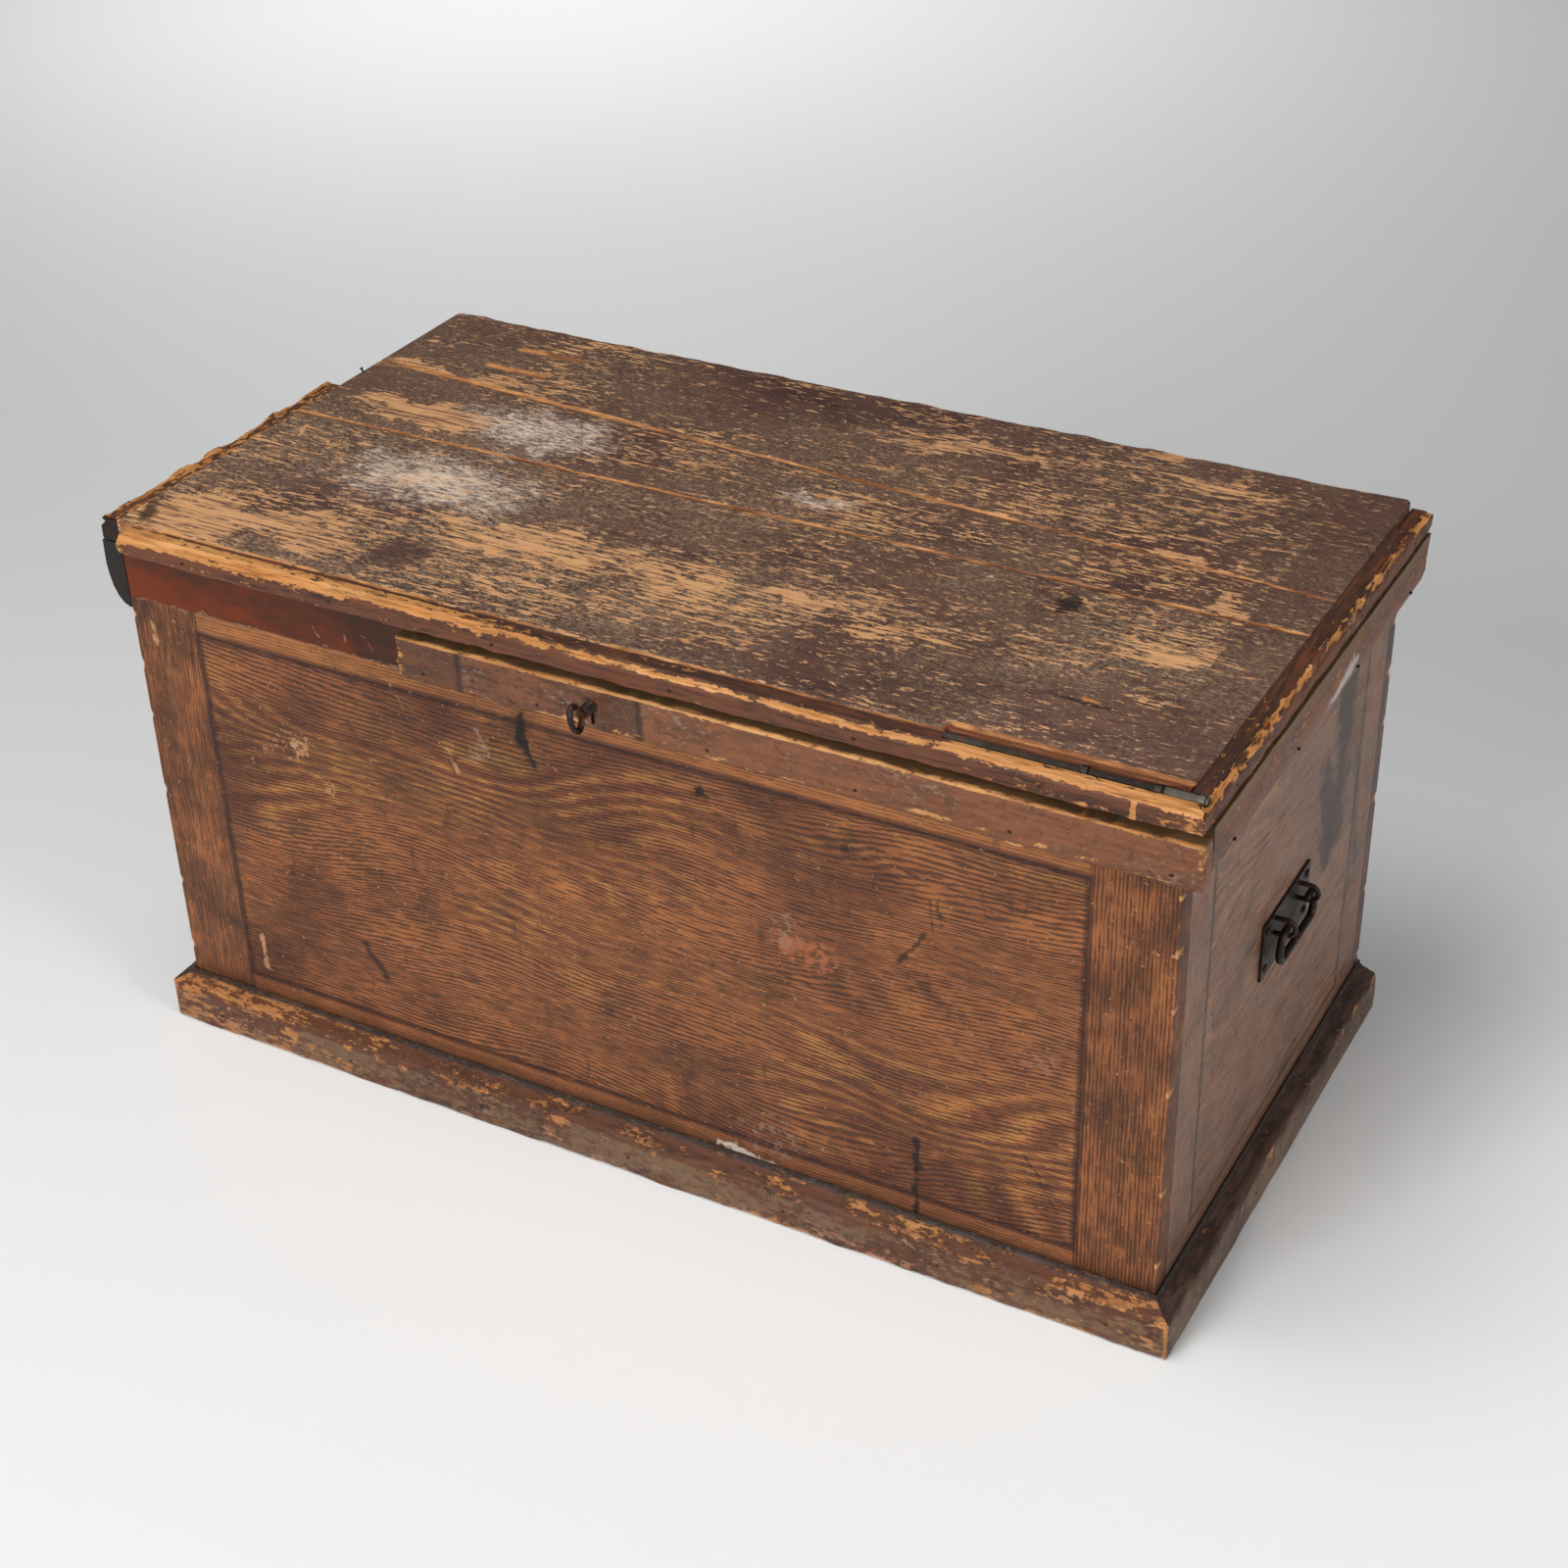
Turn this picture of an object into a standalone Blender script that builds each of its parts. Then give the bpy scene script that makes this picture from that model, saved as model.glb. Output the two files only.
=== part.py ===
"""Painted pine travel trunk: nailed case, hinged plank lid, box lock and drop handles.

Metres, +Z up. X runs along the trunk, Y from its front to its back, and the origin is
the middle of its underside, on the floor.
"""
import math

import bmesh
import bpy
from mathutils import Matrix, Vector

# Clearances
FIT = 0.0003
BREAK_OUT = 0.0010
SMOOTH_ANGLE = math.radians(40)

# Case boards
CASE_LENGTH = 0.900
CASE_DEPTH = 0.4665
CASE_HEIGHT = 0.462
FRONT_THICKNESS = 0.020
BACK_THICKNESS = 0.018
END_THICKNESS = 0.020
BOTTOM_THICKNESS = 0.016
BOTTOM_BOARD_WIDTH = 0.155
TONGUE_DEPTH = 0.006
TONGUE_THICKNESS = 0.005

# Plinth moulding on the front and both ends
PLINTH_HEIGHT = 0.046
PLINTH_THICKNESS = 0.018
PLINTH_LIST = 0.0015
PLINTH_COVE = 0.0060
PLINTH_FALL = 0.0020
PLINTH_ROUND = 0.006

# Dust strips under the lid; the front one has lost its left part
STRIP_DROP = 0.008
FRONT_STRIP_WIDTH = 0.039
FRONT_STRIP_THICKNESS = 0.016
FRONT_STRIP_ROUND = 0.007
FRONT_STRIP_LEFT = 0.276
END_STRIP_DROP = 0.006
END_STRIP_WIDTH = 0.052
END_STRIP_THICKNESS = 0.019
END_STRIP_FACE = 0.016

# Lid planks, lipping and battens
LID_THICKNESS = 0.020
LID_OVERHANG = 0.008
FRONT_PLANK_WIDTH = 0.233
MIDDLE_PLANK_LEFT = 0.120
MIDDLE_PLANK_RIGHT = 0.057
LIPPING_THICKNESS = 0.0175
LIPPING_EDGE = 0.005
LIPPING_ARRIS = 0.002
FRONT_LIPPING_LEFT = 0.012
LEFT_LIPPING_LENGTH = 0.293
SPLIT_LENGTH = 0.050
SPLIT_DEPTH = 0.007
BATTEN_WIDTH = 0.040
BATTEN_THICKNESS = 0.018
BATTEN_CHAMFER = 0.006
BATTEN_INSET = 0.110
BATTEN_FRONT_GAP = 0.043
BATTEN_BACK_GAP = 0.063

# Iron rod let into the lid's front edge, upset at its right end and held by strap staples
ROD_DIAMETER = 0.0055
ROD_LENGTH = 0.189
ROD_HEAD_DIAMETER = 0.0072
ROD_HEAD_LENGTH = 0.030
ROD_HEAD_TAPER = 0.002
ROD_PAST_END = 0.014
ROD_OUT = 0.0018
ROD_DEPTH = 0.006
CLIP_WIDTH = 0.0045
CLIP_METAL = 0.0012
CLIP_LEG = 0.0070
CLIPS_FROM_END = (0.004, 0.034, 0.086)

# Strap hinges on the top edge of the back board
HINGE_INSET = 0.190
HINGE_WIDTH = 0.060
HINGE_MIDDLE = 0.028
HINGE_LEAF = 0.016
HINGE_METAL = 0.002
HINGE_BARREL_RADIUS = 0.004
HINGE_PIN_RADIUS = 0.0018
HINGE_AXIS_OUT = 0.002
STRAP_LENGTH = 0.110
STRAP_TIP_WIDTH = 0.018

# Box lock in the front board, its key and the link plate on the lid
KEY_DROP = 0.0235
LOCK_WIDTH = 0.070
LOCK_HEIGHT = 0.048
LOCK_METAL = 0.0015
LOCK_COVERED = 0.007
LOCK_FLANGE = 0.012
BOLT_HEIGHT = 0.006
BOLT_DROP = 0.0035
BOLT_NOSE = 0.008
BOLT_TAIL = 0.0018
BOLT_SHOULDER = 0.0032
PRONG_GAP = 0.0024
PRONG_WIDTH = 0.00225
KEYHOLE_DROP = 0.016
SHANK_RADIUS = 0.0036
COLLAR_RADIUS = 0.0052
BIT_REACH = 0.0095
BIT_THICKNESS = 0.0024
BOW_HEIGHT = 0.033
BOW_LENGTH = 0.025
BOW_WIRE = 0.0052
BOW_STANDOFF = 0.007
BOW_SIDES = 24
COLLAR_COUNT = 3
COLLAR_LENGTH = 0.0015
STAPLE_THICKNESS = 0.003
STAPLE_LEG = 0.0022
STAPLE_WIDTH = 0.0080
STAPLE_DROP = 0.0143
LINK_PLATE_LENGTH = 0.070
LINK_PLATE_WIDTH = 0.024
LINK_PLATE_METAL = 0.002

# Drop handles on the ends
HANDLE_HEIGHT = 0.247
HANDLE_PLATE_LENGTH = 0.103
HANDLE_PLATE_WIDTH = 0.050
HANDLE_PLATE_ABOVE = 0.013
HANDLE_METAL = 0.002
EYE_SPACING = 0.052
EYE_RADIUS = 0.007
EYE_WIRE = 0.0044
EYE_REACH = 0.009
EYE_LEG = 0.014
BAIL_WIDTH = 0.080
BAIL_DROP = 0.025
BAIL_ROD = 0.0070
BAIL_TURN_IN = 0.016
BAIL_BEND = 0.008
RIVET_RADIUS = 0.002
RIVET_HEAD = 0.0045
RIVET_RISE = 0.002
RIVET_LENGTH = 0.015
RIVET_INSET = 0.008

# Countersunk screws of the lock
SCREW_RADIUS = 0.0018
SCREW_HEAD_RADIUS = 0.0036
SCREW_HEAD_DEPTH = 0.0018
SCREW_SET = 0.0003
SCREW_LENGTH = 0.011

# Facets of round work
ROUND_SIDES = 12
WIRE_SIDES = 8
SCREW_SIDES = 8
BEND_STEPS = 4

# Finishes: base colour, roughness, metallic
FINISHES = {
    "grained_paint": ((0.150, 0.062, 0.020), 0.50, 0.0),
    "worn_lid_paint": ((0.085, 0.038, 0.018), 0.58, 0.0),
    "worn_moulding": ((0.130, 0.052, 0.020), 0.55, 0.0),
    "bare_pine": ((0.430, 0.240, 0.100), 0.70, 0.0),
    "black_iron": ((0.022, 0.019, 0.017), 0.48, 0.9),
    "grey_steel": ((0.180, 0.165, 0.150), 0.42, 0.9),
}

HALF_LENGTH = CASE_LENGTH / 2
HALF_DEPTH = CASE_DEPTH / 2
FRONT_INSIDE = -HALF_DEPTH + FRONT_THICKNESS
BACK_INSIDE = HALF_DEPTH - BACK_THICKNESS
END_INSIDE = HALF_LENGTH - END_THICKNESS
WALL_BOTTOM = BOTTOM_THICKNESS + FIT
LID_BOTTOM = CASE_HEIGHT + FIT
LID_TOP = LID_BOTTOM + LID_THICKNESS
LID_BACK = HALF_DEPTH + LID_OVERHANG
FIRST_JOINT = -HALF_DEPTH + FRONT_PLANK_WIDTH
HINGE_AXIS = Vector((0, HALF_DEPTH + HINGE_AXIS_OUT, (CASE_HEIGHT + LID_BOTTOM) / 2))
KEY_HEIGHT = CASE_HEIGHT - KEY_DROP
LEFT = -1
RIGHT = 1
BOTTOM_BOARDS = ["bottom_front_board", "bottom_middle_board", "bottom_rear_board"]
LID_PLANKS = ["lid_front_plank", "lid_middle_plank", "lid_rear_plank"]


def side_name(side):
    return "left" if side == LEFT else "right"


def spread(first, last, count):
    """Evenly spaced places from first to last."""
    return [first + (last - first) * step / (count - 1) for step in range(count)]


def arc(centre, radii, start, end, steps):
    """Points of an elliptic arc in a plane, angles in degrees."""
    angles = [math.radians(angle) for angle in spread(start, end, steps + 1)]
    return [(centre[0] + radii[0] * math.cos(a), centre[1] + radii[1] * math.sin(a)) for a in angles]


def second_joint(x):
    """Edge between the middle and the rear plank, which runs aslant."""
    share = (x + HALF_LENGTH) / CASE_LENGTH
    return FIRST_JOINT + MIDDLE_PLANK_LEFT + (MIDDLE_PLANK_RIGHT - MIDDLE_PLANK_LEFT) * share


def loft(bm, rings, closed=False):
    """Skins a row of point rings into one solid, capped at its ends unless it closes on itself."""
    rows = [[bm.verts.new(point) for point in ring] for ring in rings]
    following = rows[1:] + rows[:1] if closed else rows[1:]
    for first, second in zip(rows, following):
        for index in range(len(first)):
            after = (index + 1) % len(first)
            bm.faces.new((first[index], first[after], second[after], second[index]))
    if not closed:
        bm.faces.new(rows[0])
        bm.faces.new(rows[-1])


def block(bm, low, high):
    """Adds a plain block between two opposite corners."""
    low = Vector(low)
    high = Vector(high)
    place = Matrix.Translation((low + high) / 2) @ Matrix.Diagonal((*(high - low), 1))
    bmesh.ops.create_cube(bm, size=1, matrix=place)


def turned(bm, profile, origin, axis, sides):
    """Adds a turned solid from (radius, distance along the axis) points."""
    axis = Vector(axis)
    across = axis.orthogonal().normalized()
    upward = axis.cross(across)
    angles = [math.tau * step / sides for step in range(sides)]
    rings = []
    for radius, along in profile:
        centre = Vector(origin) + axis * along
        rings.append([centre + radius * (math.cos(a) * across + math.sin(a) * upward) for a in angles])
    loft(bm, rings)


def bar(bm, radius, start, end, sides):
    """Adds a straight round bar between two points."""
    run = Vector(end) - Vector(start)
    turned(bm, ((radius, 0), (radius, run.length)), start, run.normalized(), sides)


def tube(bm, path, normal, radius, sides, closed=False):
    """Adds a round rod that follows a path lying in one plane."""
    normal = Vector(normal)
    angles = [math.tau * step / sides for step in range(sides)]
    last = len(path) - 1
    rings = []
    for index, point in enumerate(path):
        before = path[index - 1] if index or closed else point
        after = path[(index + 1) % len(path)] if index < last or closed else point
        across = normal.cross((after - before).normalized())
        rings.append([point + radius * (math.cos(a) * normal + math.sin(a) * across) for a in angles])
    loft(bm, rings, closed)


def bent_path(corners, radius):
    """Path through the corners, each inner one rounded to a bend of the given radius."""
    path = [corners[0]]
    for before, corner, after in zip(corners, corners[1:], corners[2:]):
        toward = (before - corner).normalized()
        onward = (after - corner).normalized()
        half = toward.angle(onward) / 2
        bisector = (toward + onward).normalized()
        centre = corner + bisector * radius / math.sin(half)
        first = corner + toward * radius / math.tan(half) - centre
        sweep = math.pi - 2 * half
        axis = first.cross(bisector)
        for step in range(BEND_STEPS + 1):
            turn = Matrix.Rotation(-sweep * step / BEND_STEPS, 3, axis)
            path.append(centre + turn @ first)
    path.append(corners[-1])
    return path


def on_face(face, along, out, height):
    """World point from the run along a face, the distance out from it and the height."""
    if face == "front":
        return (along, -HALF_DEPTH - out, height)
    if face == "right":
        return (HALF_LENGTH + out, along, height)
    return (-HALF_LENGTH - out, along, height)


def moulding(face, profile, start, end, start_mitre=0, end_mitre=0):
    """Length of moulding on a face; a mitre lengthens it by as much as it stands out."""
    bm = bmesh.new()
    first = [on_face(face, start - start_mitre * out, out, height) for out, height in profile]
    last = [on_face(face, end + end_mitre * out, out, height) for out, height in profile]
    loft(bm, (first, last))
    return bm


def add_object(name, bm):
    bmesh.ops.recalc_face_normals(bm, faces=bm.faces)
    mesh = bpy.data.meshes.new(name)
    bm.to_mesh(mesh)
    bm.free()
    item = bpy.data.objects.new(name, mesh)
    bpy.context.scene.collection.objects.link(item)
    return item


def piece(name, bm, finish, smooth=False):
    """Makes one sub-part with a material of its own."""
    part = add_object(name, bm)
    if smooth:
        part.data.shade_smooth()
        part.data.set_sharp_from_angle(angle=SMOOTH_ANGLE)
    colour, roughness, metallic = FINISHES[finish]
    material = bpy.data.materials.new(name)
    material.use_nodes = True
    shader = material.node_tree.nodes["Principled BSDF"]
    shader.inputs["Base Color"].default_value = (*colour, 1)
    shader.inputs["Roughness"].default_value = roughness
    shader.inputs["Metallic"].default_value = metallic
    part.data.materials.append(material)
    return part


def shaper(name, bm):
    """Hidden solid that is cut out of pieces or joined to them."""
    item = add_object(name, bm)
    item.hide_render = True
    item.display_type = "WIRE"
    return item


def shape(names, tool, operation):
    for name in names:
        modifier = bpy.data.objects[name].modifiers.new(tool.name, "BOOLEAN")
        modifier.operation = operation
        modifier.object = tool


def cut(names, tool):
    shape(names, tool, "DIFFERENCE")


def join(names, tool):
    shape(names, tool, "UNION")


def pivot(name, place, parts):
    """Empty on a joint axis that carries the pieces turning about it."""
    empty = bpy.data.objects.new(name, None)
    empty.location = place
    bpy.context.scene.collection.objects.link(empty)
    for part in parts:
        part.data.transform(Matrix.Translation(-Vector(place)))
        part.parent = empty


def screw(bm, head, direction, length, grow):
    """Adds a countersunk screw from its head; a grown one is its hole and breaks out at the head."""
    profile = [
        (SCREW_HEAD_RADIUS + grow, -BREAK_OUT if grow else SCREW_SET),
        (SCREW_HEAD_RADIUS + grow, 2 * SCREW_SET),
        (SCREW_RADIUS + grow, SCREW_HEAD_DEPTH + 2 * SCREW_SET),
        (SCREW_RADIUS + grow, length + grow),
    ]
    turned(bm, profile, head, direction, SCREW_SIDES)


def rivet(bm, head, direction, length, grow):
    """Adds a domed rivet whose head lies on the surface; a grown one is its hole."""
    dome = [(RIVET_HEAD * math.cos(a), -RIVET_RISE * math.sin(a)) for a in (1.2, 0.6, 0)]
    shank = [(RIVET_RADIUS + grow, -BREAK_OUT if grow else 0), (RIVET_RADIUS + grow, length + grow)]
    turned(bm, shank if grow else dome + shank, head, direction, SCREW_SIDES)


def fasten(name, kind, places, length, through):
    """Makes a set of like fasteners and their holes in the pieces that they pass through."""
    parts = []
    holes = bmesh.new()
    for number, (head, direction) in enumerate(places, 1):
        fastener = bmesh.new()
        kind(fastener, head, direction, length, 0)
        parts.append(piece(f"{name}_{number}", fastener, "black_iron", smooth=True))
        kind(holes, head, direction, length, FIT)
    cut(through, shaper(name + "_holes", holes))
    return parts


def make_case():
    """Four walls nailed at butt corners over a bottom of tongued boards."""
    walls = {
        "front_board": (-HALF_LENGTH, HALF_LENGTH, -HALF_DEPTH, FRONT_INSIDE),
        "back_board": (-HALF_LENGTH, HALF_LENGTH, BACK_INSIDE, HALF_DEPTH),
        "left_end_board": (-HALF_LENGTH, END_INSIDE * LEFT, FRONT_INSIDE + FIT, BACK_INSIDE - FIT),
        "right_end_board": (END_INSIDE, HALF_LENGTH, FRONT_INSIDE + FIT, BACK_INSIDE - FIT),
    }
    for name, (left, right, front, back) in walls.items():
        bm = bmesh.new()
        block(bm, (left, front, WALL_BOTTOM), (right, back, CASE_HEIGHT))
        piece(name, bm, "grained_paint")

    edges = (-HALF_DEPTH, -HALF_DEPTH + BOTTOM_BOARD_WIDTH, HALF_DEPTH - BOTTOM_BOARD_WIDTH, HALF_DEPTH)
    low = (BOTTOM_THICKNESS - TONGUE_THICKNESS) / 2
    high = (BOTTOM_THICKNESS + TONGUE_THICKNESS) / 2
    for index, name in enumerate(BOTTOM_BOARDS):
        front = edges[index] + (FIT if index else 0)
        back = edges[index + 1]
        outline = [(front, 0), (back, 0)]
        if name != BOTTOM_BOARDS[-1]:
            tip = back + TONGUE_DEPTH
            outline += [(back, low), (tip, low), (tip, high), (back, high)]
        outline += [(back, BOTTOM_THICKNESS), (front, BOTTOM_THICKNESS)]
        if index:
            root = front + TONGUE_DEPTH
            outline += [(front, high + FIT), (root, high + FIT), (root, low - FIT), (front, low - FIT)]
        bm = bmesh.new()
        loft(bm, [[(x, y, z) for y, z in outline] for x in (-HALF_LENGTH, HALF_LENGTH)])
        piece(name, bm, "bare_pine")


def make_plinth():
    """Three lengths of moulding round the foot, mitred at the front corners."""
    shoulder = PLINTH_HEIGHT - PLINTH_COVE
    nose = (PLINTH_THICKNESS - PLINTH_ROUND, shoulder - PLINTH_FALL - PLINTH_ROUND)
    cove = (FIT + PLINTH_LIST + PLINTH_COVE, PLINTH_HEIGHT)
    profile = [(FIT, 0), (PLINTH_THICKNESS, 0)]
    profile += arc(nose, (PLINTH_ROUND, PLINTH_ROUND), 0, 90, 4)
    profile += arc(cove, (PLINTH_COVE, PLINTH_COVE), -90, -180, 3)
    profile += [(FIT, PLINTH_HEIGHT)]
    front = moulding("front", profile, -HALF_LENGTH, HALF_LENGTH, 1, 1)
    piece("front_plinth", front, "worn_moulding", smooth=True)
    for side in (LEFT, RIGHT):
        face = side_name(side)
        run = moulding(face, profile, FIT - HALF_DEPTH, HALF_DEPTH, 1, 0)
        piece(face + "_plinth", run, "worn_moulding", smooth=True)


def make_strips():
    """Dust strips that the lid shuts down over; the front strip laps the ends of the side strips."""
    top = CASE_HEIGHT - STRIP_DROP
    bottom = top - FRONT_STRIP_WIDTH
    centre = (FRONT_STRIP_THICKNESS - FRONT_STRIP_ROUND, bottom + FRONT_STRIP_ROUND)
    profile = [(FIT, top), (FIT, bottom)]
    profile += arc(centre, (FRONT_STRIP_ROUND, FRONT_STRIP_ROUND), -90, 0, 4)
    profile += [(FRONT_STRIP_THICKNESS, top)]
    run = moulding("front", profile, -HALF_LENGTH + FRONT_STRIP_LEFT, HALF_LENGTH + END_STRIP_THICKNESS)
    piece("front_lip_strip", run, "worn_moulding", smooth=True)

    top = CASE_HEIGHT - END_STRIP_DROP
    knee = top - END_STRIP_FACE
    taper = (END_STRIP_THICKNESS - FIT, END_STRIP_WIDTH - END_STRIP_FACE)
    profile = [(FIT, top), (END_STRIP_THICKNESS, top)]
    profile += arc((FIT, knee), taper, 0, -84, 5)
    profile += [(FIT, knee - taper[1])]
    for side in (LEFT, RIGHT):
        face = side_name(side)
        run = moulding(face, profile, -HALF_DEPTH, HALF_DEPTH)
        piece(face + "_lip_strip", run, "worn_moulding", smooth=True)


def make_lid():
    """Three planks on two battens, lipped on the front and the ends."""
    ends = (-HALF_LENGTH, HALF_LENGTH)
    edges = {
        "lid_front_plank": [(x, -HALF_DEPTH, FIRST_JOINT - FIT) for x in ends],
        "lid_middle_plank": [(x, FIRST_JOINT, second_joint(x) - FIT) for x in ends],
        "lid_rear_plank": [(x, second_joint(x), LID_BACK) for x in ends],
    }
    parts = []
    for name, rows in edges.items():
        rings = []
        for x, front, back in rows:
            low = [(x, front, LID_BOTTOM), (x, back, LID_BOTTOM)]
            rings.append(low + [(x, back, LID_TOP), (x, front, LID_TOP)])
        bm = bmesh.new()
        loft(bm, rings)
        parts.append(piece(name, bm, "worn_lid_paint"))

    arris = (LIPPING_THICKNESS - LIPPING_ARRIS, LID_BOTTOM + LIPPING_ARRIS)
    edge = (LIPPING_THICKNESS - LIPPING_EDGE, LID_TOP - LIPPING_EDGE)
    profile = [(FIT, LID_TOP), (FIT, LID_BOTTOM)]
    profile += arc(arris, (LIPPING_ARRIS, LIPPING_ARRIS), -90, 0, 2)
    profile += arc(edge, (LIPPING_EDGE, LIPPING_EDGE), 0, 90, 4)
    runs = {
        "lid_front_lipping": moulding("front", profile, FRONT_LIPPING_LEFT - HALF_LENGTH, HALF_LENGTH, 0, 1),
        "lid_left_lipping": moulding("left", profile, -HALF_DEPTH, LEFT_LIPPING_LENGTH - HALF_DEPTH),
        "lid_right_lipping": moulding("right", profile, FIT - HALF_DEPTH, LID_BACK, 1, 0),
    }
    for name, bm in runs.items():
        parts.append(piece(name, bm, "worn_moulding", smooth=True))
    split = bmesh.new()
    low = (HALF_LENGTH - BREAK_OUT, LID_BACK - SPLIT_LENGTH, LID_TOP - SPLIT_DEPTH)
    high = (HALF_LENGTH + LIPPING_THICKNESS + BREAK_OUT, LID_BACK + BREAK_OUT, LID_TOP + BREAK_OUT)
    block(split, low, high)
    cut(["lid_right_lipping"], shaper("right_lipping_split", split))

    front = -HALF_DEPTH + BATTEN_FRONT_GAP
    back = HALF_DEPTH - BATTEN_BACK_GAP
    bottom = LID_BOTTOM - FIT - BATTEN_THICKNESS
    outline = [
        (front + BATTEN_CHAMFER, bottom),
        (back - BATTEN_CHAMFER, bottom),
        (back, bottom + BATTEN_CHAMFER),
        (back, bottom + BATTEN_THICKNESS),
        (front, bottom + BATTEN_THICKNESS),
        (front, bottom + BATTEN_CHAMFER),
    ]
    for side in (LEFT, RIGHT):
        middle = side * (HALF_LENGTH - BATTEN_INSET)
        faces = (middle - BATTEN_WIDTH / 2, middle + BATTEN_WIDTH / 2)
        bm = bmesh.new()
        loft(bm, [[(x, y, z) for y, z in outline] for x in faces])
        parts.append(piece("lid_batten_" + side_name(side), bm, "bare_pine"))
    return parts


def make_edge_rod():
    """Iron rod in a channel along the lid's front edge, under three strap staples."""
    radius = ROD_DIAMETER / 2
    head = ROD_HEAD_DIAMETER / 2
    end = HALF_LENGTH + ROD_PAST_END
    start = end - ROD_LENGTH
    y = -HALF_DEPTH - ROD_OUT
    z = LID_TOP - ROD_DEPTH
    edge = ["lid_front_plank", "lid_front_lipping", "lid_right_lipping"]

    half = head + CLIP_METAL + 2 * FIT
    floor = z - head - FIT
    channel = bmesh.new()
    block(channel, (start - FIT, y - half, floor), (end + FIT, y + half, LID_TOP + BREAK_OUT))
    cut(edge, shaper("edge_channel", channel))

    swell = ROD_LENGTH - ROD_HEAD_LENGTH
    profile = ((radius, 0), (radius, swell - ROD_HEAD_TAPER), (head, swell), (head, ROD_LENGTH))
    rod = bmesh.new()
    turned(rod, profile, (start, y, z), (1, 0, 0), WIRE_SIDES)
    parts = [piece("lid_edge_rod", rod, "black_iron", smooth=True)]

    slots = bmesh.new()
    bottom = floor - CLIP_LEG
    for number, inset in enumerate(CLIPS_FROM_END, 1):
        inner = (head if inset < ROD_HEAD_LENGTH else radius) + FIT
        outer = inner + CLIP_METAL
        outline = [(y + outer, bottom)] + arc((y, z), (outer, outer), 0, 180, 8) + [(y - outer, bottom)]
        outline += [(y - inner, bottom)] + arc((y, z), (inner, inner), 180, 0, 8) + [(y + inner, bottom)]
        faces = (end - inset - CLIP_WIDTH / 2, end - inset + CLIP_WIDTH / 2)
        clip = bmesh.new()
        loft(clip, [[(x, *point) for point in outline] for x in faces])
        parts.append(piece(f"lid_edge_clip_{number}", clip, "black_iron", smooth=True))
        for near, far in ((y - outer, y - inner), (y + inner, y + outer)):
            low = (faces[0] - FIT, near - FIT, bottom - FIT)
            block(slots, low, (faces[1] + FIT, far + FIT, floor + BREAK_OUT))
    cut(edge, shaper("edge_clip_slots", slots))
    return parts


def strap_outline(middle, grow):
    """Plan of a lid strap: it tapers from the barrel to a rounded tip."""
    wide = HINGE_MIDDLE / 2 - FIT + grow
    narrow = STRAP_TIP_WIDTH / 2 + grow
    tip = HINGE_AXIS.y - STRAP_LENGTH + STRAP_TIP_WIDTH / 2
    outline = [(middle + wide, HINGE_AXIS.y), (middle - wide, HINGE_AXIS.y)]
    return outline + arc((middle, tip), (narrow, narrow), 180, 360, 6)


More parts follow.
